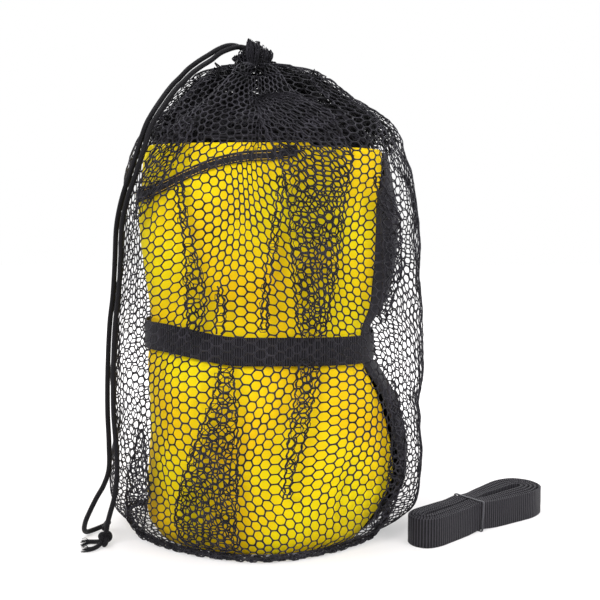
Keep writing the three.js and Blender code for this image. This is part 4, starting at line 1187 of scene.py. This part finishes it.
def smooth_ring(z):
    """The bag's plain outline at a height: base, body, shoulder and neck in one run."""
    height = np.full(len(TURNS), float(z))
    if z <= BUNDLE_HEIGHT:
        body_z = max(z, LOW_Z)
        reach, setback = bag_reach(body_z)
        x, y = outline(TURNS, reach, mix(BASE_SQUARENESS, BAG_SQUARENESS, from_base(body_z)), 0, setback)
        if z < LOW_Z:
            bx, by, bz = base_ring(BAG_BASE_Z)
            share = (z - BAG_BASE_Z) / (LOW_Z - BAG_BASE_Z)
            bow = math.sin(share * math.pi / 2)
            x, y, height = mix(bx, x, bow), mix(by, y, bow), mix(bz, LOW_Z, share)
        return x, y, height
    rise = min(1, (z - BUNDLE_HEIGHT) / SHOULDER_RISE)
    pulls = shoulder_pulls(rise)
    reach = [mix(r, NECK_RADIUS, p) for r, p in zip(bag_reach(BUNDLE_HEIGHT)[0], pulls)]
    x, y = outline(TURNS, reach, mix(BAG_SQUARENESS, NECK_SQUARENESS, rise), NECK_X * pulls[2], 0)
    if z > NECK_Z:
        up = (z - NECK_Z) / TUFT_RISE
        swell = mix(0.95, TUFT_SWELL, ease(1.6 * up)) * mix(1, 0.8, ease(2 * up - 1))
        x, y = NECK_X + (x - NECK_X) * swell, y * swell
    return x, y, height


def rim_drop(turns):
    """The tuft's rim dips to the left for the cord and to the right."""
    away = np.abs((turns % 360) - 180)
    to_right = ease((np.cos(np.radians(turns)) + 0.2) / 1.2)
    return RIM_DROP_LEFT * ease(1.35 - away / 60) + RIM_DROP_RIGHT * to_right


# The valleys of the gathered shoulder: where they are in turns, how wide and how deep
VALLEYS = [(95, 11, 1.0), (122, 9, 0.8), (150, 10, 0.95), (172, 8, 0.7), (202, 12, 1.0), (232, 12, 0.9),
           (270, 12, 1.0), (297, 9, 0.75), (320, 8, 0.7), (346, 9, 0.85), (372, 10, 1.0), (400, 9, 0.8),
           (428, 10, 0.9)]


def valley_shape(z):
    """0 on the lobes and up to 1 in the valleys between them, as the gathered cloth folds."""
    sway = 7 * math.sin(z * 0.045)
    total = np.zeros(len(TURNS))
    for place, width, depth in VALLEYS:
        away = (TURNS - place - sway * math.cos(place) + 180) % 360 - 180
        total = np.maximum(total, depth * np.exp(-np.abs(away / width)**1.7))
    return total


def ring_length(x, y):
    return np.hypot(np.diff(x), np.diff(y)).sum()


GATHER_FROM = 330
DEEPEST = 0.5
SHALLOWEST = 0.06


def gathered_ring(z):
    """The ring with its shoulder valleys as deep as the gathered girth asks for, within limits."""
    x, y, height = smooth_ring(z)
    start = ease((z - GATHER_FROM) / 60)
    if start <= 0:
        return x, y, height
    rise = np.clip((z - BUNDLE_HEIGHT) / SHOULDER_RISE, 0, 1)
    middle = NECK_X * shoulder_pulls(rise)[2]
    x = x - middle
    shape = valley_shape(z) * ease(start * 1.2)
    low, high = 0.0, 0.6 if z < NECK_Z else DEEPEST
    for _ in range(14):
        depth = (low + high) / 2
        shrink = 1 - shape * depth
        if ring_length(x * shrink, y * shrink) < GATHERED_GIRTH:
            low = depth
        else:
            high = depth
    if z < NECK_Z - 14:
        radius = np.hypot(x, y)
        kept_out = np.clip((radius - NECK_RADIUS) / radius, 0.05, 1)
        limit = mix(SHALLOWEST, DEEPEST, ease((z - 372) / 55)) * shape
        shrink = 1 - np.minimum(np.minimum(shape * low, 1 - kept_out), limit)
    else:
        shrink = 1 - shape * min(low, DEEPEST)
    return middle + x * shrink, y * shrink, height


# Pleats: the cloth runs to one edge, turns back to the other and goes on, three layers deep. Each has
# its side of the bag, and its left and right edges as (x, z) points.
FRONT = -1
REAR = 1
PLEATS = [
    (FRONT, [(33, 198), (31, 230), (27, 265), (25, 305), (21, 336), (15, 352), (1, 387), (-6, 404)],
     [(56, 200), (60, 230), (68, 277), (70, 298), (72, 320), (76, 340), (79, 353), (60, 395), (30, 410)]),
    (FRONT, [(-72, 14), (-77, 38), (-68, 71), (-56, 107), (-43, 139), (-34, 176)],
     [(-18, 10), (-23, 34), (-20, 67), (-20, 116), (-23, 150), (-25, 176)]),
    (FRONT, [(18, 20), (21, 75), (24, 107), (30, 146), (33, 176)],
     [(19, 20), (23, 59), (30, 87), (40, 116), (47, 153), (52, 176)]),
    (FRONT, [(-64, 197), (-64, 263), (-68, 300), (-72, 338)],
     [(-56, 197), (-47, 230), (-54, 263), (-63, 300), (-68, 338)]),
    (FRONT, [(-40, 200), (-37, 225), (-36, 250)], [(-32, 200), (-32, 225), (-34, 250)]),
    (FRONT, [(0, 200), (2, 230), (6, 265), (14, 310), (17, 340)],
     [(5, 200), (6, 230), (11, 265), (19, 310), (20, 340)]),
    (FRONT, [(-110, 300), (-106, 330), (-92, 362), (-70, 385)],
     [(-106, 300), (-86, 330), (-66, 362), (-56, 385)]),
    (FRONT, [(-128, 14), (-124, 60), (-112, 96), (-108, 120)],
     [(-110, 14), (-100, 60), (-104, 96), (-106, 120)]),
    (FRONT, [(96, 20), (112, 60), (116, 110), (112, 160)], [(112, 20), (128, 60), (128, 110), (116, 160)]),
    (FRONT, [(104, 210), (108, 250), (104, 300), (98, 340)],
     [(108, 210), (124, 250), (122, 300), (100, 340)]),
    (REAR, [(40, 20), (44, 90), (52, 170)], [(74, 20), (66, 90), (58, 170)]),
    (REAR, [(-60, 16), (-52, 80), (-44, 168)], [(-36, 16), (-38, 80), (-40, 168)]),
    (REAR, [(-22, 202), (-30, 270), (-40, 360)], [(-8, 202), (-4, 270), (-16, 360)]),
    (REAR, [(54, 205), (60, 280), (66, 350)], [(62, 205), (84, 280), (90, 350)]),
    (REAR, [(-96, 204), (-104, 260), (-98, 330)], [(-92, 204), (-80, 260), (-84, 330)]),
]


def pleat_span(pleat, z):
    """The pleat's two edges at a height, drawn together beyond its two ends."""
    _, left_edge, right_edge = pleat
    open_share = within(z, [p[1] for p in left_edge + right_edge], 12, 6)
    left, right = edge_at(left_edge, z), edge_at(right_edge, z)
    middle = (left + right) / 2
    half = abs(right - left) / 2 * open_share
    return middle - half, middle + half


# Creases of the net: the side of the bag, (x, z) points, how deep and how wide
CREASES = [
    (FRONT, [(-108, 197), (-101, 260), (-96, 330)], 3.0, 3.2),
    (FRONT, [(-84, 24), (-90, 80), (-80, 150)], 3.0, 3.2),
    (FRONT, [(-2, 20), (4, 90), (2, 168)], 2.0, 3.2),
    (FRONT, [(66, 30), (78, 90), (80, 168)], 3.0, 3.2),
    (FRONT, [(88, 200), (92, 260), (88, 330)], 3.0, 3.2),
    (FRONT, [(-16, 200), (-20, 260), (-12, 330)], 1.6, 3.2),
    (FRONT, [(-5.6, 446), (-5.4, 405), (-4, 380), (-6, 352)], 10.0, 5.0),
    (REAR, [(0, 20), (6, 90), (2, 168)], 3.0, 3.2),
    (REAR, [(96, 24), (104, 100), (92, 168)], 3.0, 3.2),
    (REAR, [(-92, 24), (-100, 100), (-84, 168)], 3.0, 3.2),
    (REAR, [(20, 200), (26, 280), (16, 350)], 3.0, 3.2),
    (REAR, [(-62, 200), (-66, 280), (-58, 350)], 3.0, 3.2),
]
net_waves = Noise(61, 58, 9)
net_small = Noise(62, 21, 9)
WAVE_SIZE = 1.3
RIPPLE_SIZE = 0.5
NET_CREASE_FADE = 14
LOBES_ROUND = 5
LOBE_MIDDLE = COLUMNS / 2 - COLUMNS / LOBES_ROUND / 2
LOBE_CROWDING = 0.46
STRAP_DRAW = 1.2
EVEN_SHARE = 0.45  # of the way to the back, over which the columns are evenly spaced


def strap_draw(z):
    """The net is drawn in a little where the strap holds the bundle's waist."""
    return -STRAP_DRAW * math.exp(-((z - STRAP_HEIGHT - 6) / 34)**2)


def columns_along(sigma):
    """The column number at each place along a ring: even at the front, evened out at the back."""
    front = np.interp(FRONT_TURN, TURNS, sigma)
    out = np.empty(len(sigma))
    for sign, span in ((-1, front), (1, sigma[-1] - front)):
        pitch = min(COLUMN_PITCH, span / (COLUMNS / 2 - 2))
        here = (sigma - front) * sign >= 0
        away = np.abs(sigma[here] - front)
        start = EVEN_SHARE * span
        spare = (COLUMNS / 2 - span / pitch) / (span - start)**2
        out[here] = COLUMNS / 2 + sign * (away / pitch + spare * np.maximum(0, away - start)**2)
    return out


def lobed(column, z):
    """On the shoulder the cells stay wide on each lobe and crowd together in the valleys between."""
    share = LOBE_CROWDING * ease((z - 368) / 40)
    turn = 2 * np.pi * LOBES_ROUND / COLUMNS
    return column - share / turn * np.sin(turn * (column - LOBE_MIDDLE))


def along_ring(x, y):
    return np.concatenate([[0], np.cumsum(np.hypot(np.diff(x), np.diff(y)))])


def crease_push(x, y, z):
    """How far in the creases draw each point of a ring."""
    total = np.zeros(len(x))
    for face, line, depth, width in CREASES:
        near = np.exp(-((x - edge_at(line, z)) / width)**2) * (y * face > 0)
        total += depth * within(z, [p[1] for p in line], NET_CREASE_FADE) * near
    return total


def net_ring(z):
    """The cloth at one height: SAMPLES points, evenly spaced in columns."""
    x, y, height = gathered_ring(z)
    sigma = along_ring(x, y)
    out = sideways(unit(np.stack([np.gradient(x, sigma), np.gradient(y, sigma)], 1)))
    if np.sum(out[:, 0] * x + out[:, 1] * y) < 0:
        out = -out
    still = ease((z - 14) / 20) * ease((430 - z) / 40)
    wave = (WAVE_SIZE * net_waves(sigma, z) + RIPPLE_SIZE * net_small(sigma, z)) * still
    sides = ease((np.abs(x) - 95) / 30)
    bend = wave * mix(0.55, 1.5, sides) + strap_draw(z) * mix(1, 0.4, sides) - crease_push(x, y, z)
    x = x + out[:, 0] * bend
    y = y + out[:, 1] * bend
    sigma = along_ring(x, y)
    columns = lobed(columns_along(sigma), z)
    want = np.linspace(0, COLUMNS, SAMPLES, endpoint=False)
    at = np.interp(want, columns - np.interp(0, sigma, columns), sigma)
    px, py, pz, turned = (np.interp(at, sigma, v) for v in (x, y, height, TURNS))
    if z > NECK_Z - 10:
        pz = pz - rim_drop(turned) * ease((z - NECK_Z) / TUFT_RISE)
    return np.stack([px, py, pz], 1)


def ring_heights():
    low = np.linspace(BAG_BASE_Z, 30, 12, endpoint=False)
    body = np.linspace(30, BUNDLE_HEIGHT, 130, endpoint=False)
    shoulder = BUNDLE_HEIGHT + SHOULDER_RISE * np.sin(np.linspace(0, np.pi / 2, 80))
    tuft = np.linspace(NECK_Z, NECK_Z + TUFT_RISE, 24)[1:]
    return np.concatenate([low, body, shoulder, tuft])


RING_Z = ring_heights()
RINGS = np.stack([net_ring(z) for z in RING_Z])
for _ in range(2):
    RINGS[1:-1] = RINGS[1:-1] * 0.5 + (RINGS[:-2] + RINGS[2:]) * 0.25
ROW_STEPS = np.linalg.norm(np.diff(RINGS, axis=0), axis=2)
CLOTH_UP = np.concatenate([[0], np.cumsum(np.percentile(ROW_STEPS, 60, axis=1))])
RING_AHEAD = np.roll(RINGS, -1, 1) - np.roll(RINGS, 1, 1)
RING_NORMAL = unit(np.cross(RING_AHEAD, np.gradient(RINGS, axis=0)))
if np.sum(RING_NORMAL[60] * (RINGS[60] - RINGS[60].mean(0))) < 0:
    RING_NORMAL = -RING_NORMAL
RING_NORMAL = unit(RING_NORMAL + 0.5 * np.roll(RING_NORMAL, 1, 1) + 0.5 * np.roll(RING_NORMAL, -1, 1))


def on_cloth(s, t, table):
    """Values of a table at cloth places: s in columns round, t in millimetres up."""
    u = (s / COLUMNS * SAMPLES) % SAMPLES
    i = np.floor(u).astype(int)
    f = (u - i)[..., None]
    j = (i + 1) % SAMPLES
    r = np.clip(np.interp(t, CLOTH_UP, np.arange(len(CLOTH_UP))), 0, len(CLOTH_UP) - 1.001)
    k = np.floor(r).astype(int)
    g = (r - k)[..., None]
    low = table[k, i] * (1 - f) + table[k, j] * f
    high = table[k + 1, i] * (1 - f) + table[k + 1, j] * f
    return low * (1 - g) + high * g


def on_net(column, t, stand):
    """Places so far over the bag's net, and its outward directions there."""
    normal = unit(on_cloth(column, t, RING_NORMAL))
    return on_cloth(column, t, RINGS) + normal * stand, normal


# How the lattice has crept round the bag, in columns, and up it, in millimetres: each wave's size,
# how many go round the bag, its start and its drift with each millimetre of height
CREEP = [(1.25, 3, 0.4, 0.019), (0.5, 8, 0, -0.027)]
CLIMB = [(7, 2, 0.9, 0.004), (4, 5, 2.0, -0.009)]


def waves_round(waves, s, t):
    turn = 2 * np.pi * s / COLUMNS
    return sum(size * np.sin(turn * count + start + t * drift) for size, count, start, drift in waves)


def wander(s, t):
    """Where the knitted lattice has crept to on the bag: columns round it, and millimetres up."""
    calm = ease(t / 70) * ease((CLOTH_UP[-1] - t) / 60)
    return s + waves_round(CREEP, s, t) * calm, t + waves_round(CLIMB, s, t) * calm


# The knitted strands: how wide and how thick, at a hole's corners and half-way between
CORNER_WIDTH = 0.98
STRAND_WIDTH = 0.64
CORNER_THICKNESS = 0.62
STRAND_THICKNESS = 0.5
WIDEST_SHARE = 0.42  # of a hole's reach
UNEVEN = 0.12
MEETING = 0.02
ROWS = int(CLOTH_UP[-1] / ROW_PITCH)
NECK_ROW = int(np.interp(NECK_Z + 1.0, RING_Z, CLOTH_UP) / ROW_PITCH)
SHOULDER_ROW = int(np.interp(BUNDLE_HEIGHT + 12, RING_Z, CLOTH_UP) / ROW_PITCH)
net_rng = np.random.default_rng(SEED + 70)


def holes(columns, rows):
    """The column and the row of each hole in a patch of net."""
    i, m = np.meshgrid(columns, rows, indexing="ij")
    return i.ravel(), m.ravel()


def lattice_point(column, row, side):
    """A hole's upper corner, a third of a column to one side of its middle."""
    return column + side / 3, row + 0.5 * (column % 2) + 0.5


def net_cells(i, m, lay, thin=1.0):
    """The strands round each hexagonal hole of the knitted net.

    i and m are the holes' columns and rows. lay(s, q) gives a place and a normal for lattice
    places, in columns and rows."""
    beside = np.where(i % 2 == 0, m - 1, m)
    corners = [lattice_point(i + 1, beside, -1), lattice_point(i, m, 1), lattice_point(i, m, -1),
               lattice_point(i - 1, beside, 1), lattice_point(i, m - 1, -1), lattice_point(i, m - 1, 1)]
    ring = []
    for here, there in zip(corners, corners[1:] + corners[:1]):
        ring += [here, ((here[0] + there[0]) / 2, (here[1] + there[1]) / 2)]
    place, normal = lay(*(np.stack(numbers, 1) for numbers in zip(*ring)))
    inward = place.mean(1, keepdims=True) - place
    reach = np.linalg.norm(inward, axis=2, keepdims=True)
    corner = (np.arange(12) % 2 == 0)[None, :, None]
    vary = 1 + UNEVEN * net_rng.standard_normal((len(i), 1, 1))
    width = np.where(corner, CORNER_WIDTH, STRAND_WIDTH) * vary * thin
    hole = place + inward / np.maximum(reach, 1e-6) * np.minimum(width, reach * WIDEST_SHARE)
    thick = np.where(corner, CORNER_THICKNESS, STRAND_THICKNESS) * thin
    cells = np.stack([place + normal * thick, place - normal * thick, hole], 1)
    base = np.arange(len(i))[:, None] * 36
    k = np.arange(12)[None, :]
    n = (k + 1) % 12
    outside = np.stack([base + k, base + n, base + 24 + n, base + 24 + k], -1)
    inside = np.stack([base + 12 + n, base + 12 + k, base + 24 + k, base + 24 + n], -1)
    quads = np.concatenate([outside.reshape(-1, 4), inside.reshape(-1, 4)])
    return merged(cells.reshape(-1, 3), quads)


def merged(points, faces):
    """Points that meet are made one, so that the strands are smooth and closed."""
    keys = np.round(points / MEETING).astype(np.int64)
    _, first, where = np.unique(keys, axis=0, return_index=True, return_inverse=True)
    faces = where.reshape(-1)[faces]
    good = np.array([len(set(f)) == 4 for f in faces.tolist()])
    return points[first], faces[good]


def thread(path, radius):
    """A single thread's points and quads."""
    points, faces, _ = tube(path, radius, 6)
    return points, np.array([f for f in faces if len(f) == 4])


def net_band(first, last, sink=0.0, shift=0.0, up=0.0):
    """Rows of the bag's net, so far under its surface, and shifted round and up."""
    def lay(s, q):
        return on_net(*wander(s + shift, q * ROW_PITCH + up), -sink)

    return net_cells(*holes(range(COLUMNS), range(first, last)), lay)


def net_piece(name, cad_node, parts, flat, share, look=NET_YARN):
    """One piece of net from several meshes. Its flat size and the share that strands cover are reckoned, and
    nothing is done with them.
    """
    starts = np.cumsum([0] + [len(points) for points, _ in parts])
    points = np.concatenate([points for points, _ in parts])
    faces = np.concatenate([faces + start for (_, faces), start in zip(parts, starts)])
    piece = dressed(mesh_object(name, points, faces, look), cad_node)
    tuple(v * MM for v in flat)
    flat[0] * flat[1] * MM * MM * share


def columns_at(z, face):
    """x against column on the front or the back of the ring nearest a height, in order of x."""
    ring = RINGS[int(np.argmin(np.abs(RING_Z - z)))]
    on_face = np.nonzero(ring[:, 1] * face > 0)[0]
    order = on_face[np.argsort(ring[on_face, 0])]
    columns = order / SAMPLES * COLUMNS
    if face == REAR:
        columns = np.where(columns < COLUMNS / 2, columns + COLUMNS, columns)
    return ring[order, 0], columns


# A pleat's further layers: the edge that each starts from, how far it stands out, how far its rows
# are shifted up, and its slant
FOLD_LAYERS = [(0, 1.1, 0.0, 0.3), (1, 2.0, ROW_PITCH * 0.4, -0.38)]
FOLD_LINE_STAND = 1.2
FOLD_LINE_RADIUS = 0.85


def fold_layer(edges, ts, side, lift, up, slant):
    """One further layer of net between a pleat's two edges, or nothing where no hole fits."""
    def place(s, q):
        t = q * ROW_PITCH + up
        return s + np.interp(t, ts, edges[side]) + slant * (t - ts.mean()) / COLUMN_PITCH, t

    def lay(s, q):
        return on_net(*place(s, q), lift)

    spare = int(np.ceil(abs(slant) * (ts[-1] - ts[0]) / 2 / COLUMN_PITCH)) + 2
    widest = int(np.ceil((edges[1] - edges[0]).max())) + spare
    first, last = (int((t - up) / ROW_PITCH) for t in (ts[0], ts[-1]))
    i, m = holes(range(-widest, widest + 1), range(first, last + 1))
    column, t = place(i, m + 0.5 * (i % 2))
    keep = (column > np.interp(t, ts, edges[0]) + 0.2) & (column < np.interp(t, ts, edges[1]) - 0.2)
    keep &= (t > ts[0]) & (t < ts[-1])
    return [net_cells(i[keep], m[keep], lay, 0.95)] if keep.any() else []


def fold_parts(pleat):
    """A pleat's two further layers of net, one along each of its edges, and the folded edges."""
    face, left, right = pleat
    heights = [p[1] for p in left + right]
    levels = np.linspace(min(heights), max(heights), 40)
    edges = np.array([np.sort(np.interp(pleat_span(pleat, z), *columns_at(z, face))) for z in levels]).T
    ts = np.interp(levels, RING_Z, CLOTH_UP)
    parts = [part for settings in FOLD_LAYERS for part in fold_layer(edges, ts, *settings)]
    opened = ts[edges[1] - edges[0] > 0.4]
    t = np.linspace(opened[0], opened[-1], int((max(heights) - min(heights)) / 2.2))
    for edge in edges:
        column = np.interp(t, ts, edge) + 0.12 * np.sin(t * 2 * np.pi / ROW_PITCH)
        parts.append(thread(on_net(column, t, FOLD_LINE_STAND)[0], FOLD_LINE_RADIUS))
    return parts


NET_BANDS = 4
NET_SHARE = 0.72
GATHERED_SIZE = (2500, 100)
# The shoulder's inner layers: rows left out, how deep each lies, and its shifts round and up
GATHERS = [(0, 4.5, 0.5, 4), (2, 9, 1.2, 1.5), (4, 13, 0.8, 5)]
band_rows = np.linspace(0, NECK_ROW, NET_BANDS + 1).astype(int)
for index, (low_row, high_row) in enumerate(zip(band_rows[:-1], band_rows[1:])):
    net_piece(f"bag_net_{index + 1}", "bag_net", [net_band(low_row, high_row)],
              (COLUMNS * COLUMN_PITCH, (high_row - low_row) * ROW_PITCH), NET_SHARE)
net_piece("bag_net_folds", None, [part for pleat in PLEATS for part in fold_parts(pleat)], (400, 300),
          NET_SHARE)
gathers = [net_band(SHOULDER_ROW + skipped, NECK_ROW, *where) for skipped, *where in GATHERS]
# The shoulder's inner layers take the darker copy of the yarn: painted shade between the layers of net
net_piece("bag_net_gathers", None, gathers, GATHERED_SIZE, NET_SHARE, look=SHADED_NET_YARN)
net_piece("mouth_tuft", "mouth_gather", [net_band(NECK_ROW, ROWS), net_band(NECK_ROW, ROWS, 3, 0.5, 2)],
          (COLUMNS * COLUMN_PITCH, 28), 0.5)


# ---- The base: the net's rolled hem, and the flat net that the bundle stands on --------------------
HEM_HEIGHT = 3.9
HEM_ROWS = 3
HEM_LINE = np.stack(base_ring(HEM_HEIGHT), 1)
HEM_RUN = lengths_along(HEM_LINE)
HEM_OUT = unit(np.cross(unit(np.gradient(HEM_LINE, axis=0)), (0, 0, 1)))
HEM_LAYERS = [(2.7, 0.0), (1.9, 0.5)]  # radius and shift
HEM_THREADS = [(0.0, 1.3), (2.1, 1.4), (4.2, 1.2)]  # first turn and radius
HEM_THREAD_RADIUS = 0.8
HEM_THREAD_TURN = 0.55  # radians for each column
PANEL_HEIGHT = 0.9
PANEL_MARGIN = 4.5


def around_hem(s, turn, radius):
    """Places and outward directions on the rolled hem, s columns round it and turned about its line."""
    at = (s % COLUMNS) / COLUMNS * HEM_RUN[-1]
    line = on_line(at, HEM_RUN, HEM_LINE)
    out = unit(on_line(at, HEM_RUN, HEM_OUT))
    bag_turn = 2 * np.pi * s / COLUMNS
    turn = turn + 0.5 * np.sin(bag_turn * 9)
    away = out * np.cos(turn)[..., None] + np.array([0, 0, 1.0]) * np.sin(turn)[..., None]
    lump = 1 + 0.1 * np.sin(bag_turn * 31 + turn) + 0.08 * np.sin(bag_turn * 17 + 2 * turn)
    return line + away * (radius * lump)[..., None], away


def hem_layer(radius, shift):
    def lay(s, q):
        return around_hem(s + shift, 2 * np.pi * (q + shift) / HEM_ROWS, radius)

    return net_cells(*holes(range(COLUMNS), range(HEM_ROWS)), lay)


def hem_thread(first_turn, radius):
    """One of the pulled threads that wind round inside the roll."""
    s = np.linspace(0, COLUMNS * 0.998, COLUMNS * 5)
    return thread(around_hem(s, first_turn + s * HEM_THREAD_TURN, radius)[0], HEM_THREAD_RADIUS)


def base_net():
    """The cells of the flat net inside the base's outline."""
    def lay(s, q):
        x, y = s * COLUMN_PITCH, q * ROW_PITCH
        place = np.stack([x, y + BASE_SETBACK, PANEL_HEIGHT + corner_rise(x)], -1)
        return place, np.broadcast_to([0, 0, 1.0], place.shape)

    i, m = holes(range(-26, 27), range(-16, 17))
    x, y = i * COLUMN_PITCH, (m + 0.5 * (i % 2)) * ROW_PITCH
    wide = np.where(x < 0, BASE_REACH[0], BASE_REACH[1]) - PANEL_MARGIN
    deep = np.where(y < 0, BASE_REACH[2], BASE_REACH[3]) - PANEL_MARGIN
    inside = (np.abs(x) / wide)**BASE_SQUARENESS + (np.abs(y) / deep)**BASE_SQUARENESS < 1
    return net_cells(i[inside], m[inside], lay, 0.9)


hem_parts = [hem_layer(*layer) for layer in HEM_LAYERS] + [hem_thread(*turned) for turned in HEM_THREADS]
net_piece("base_hem", "base_seam", hem_parts, (HEM_RUN[-1], 34), 0.9)
net_piece("base_net", "base_panel", [base_net()], (285, 205), 0.52)
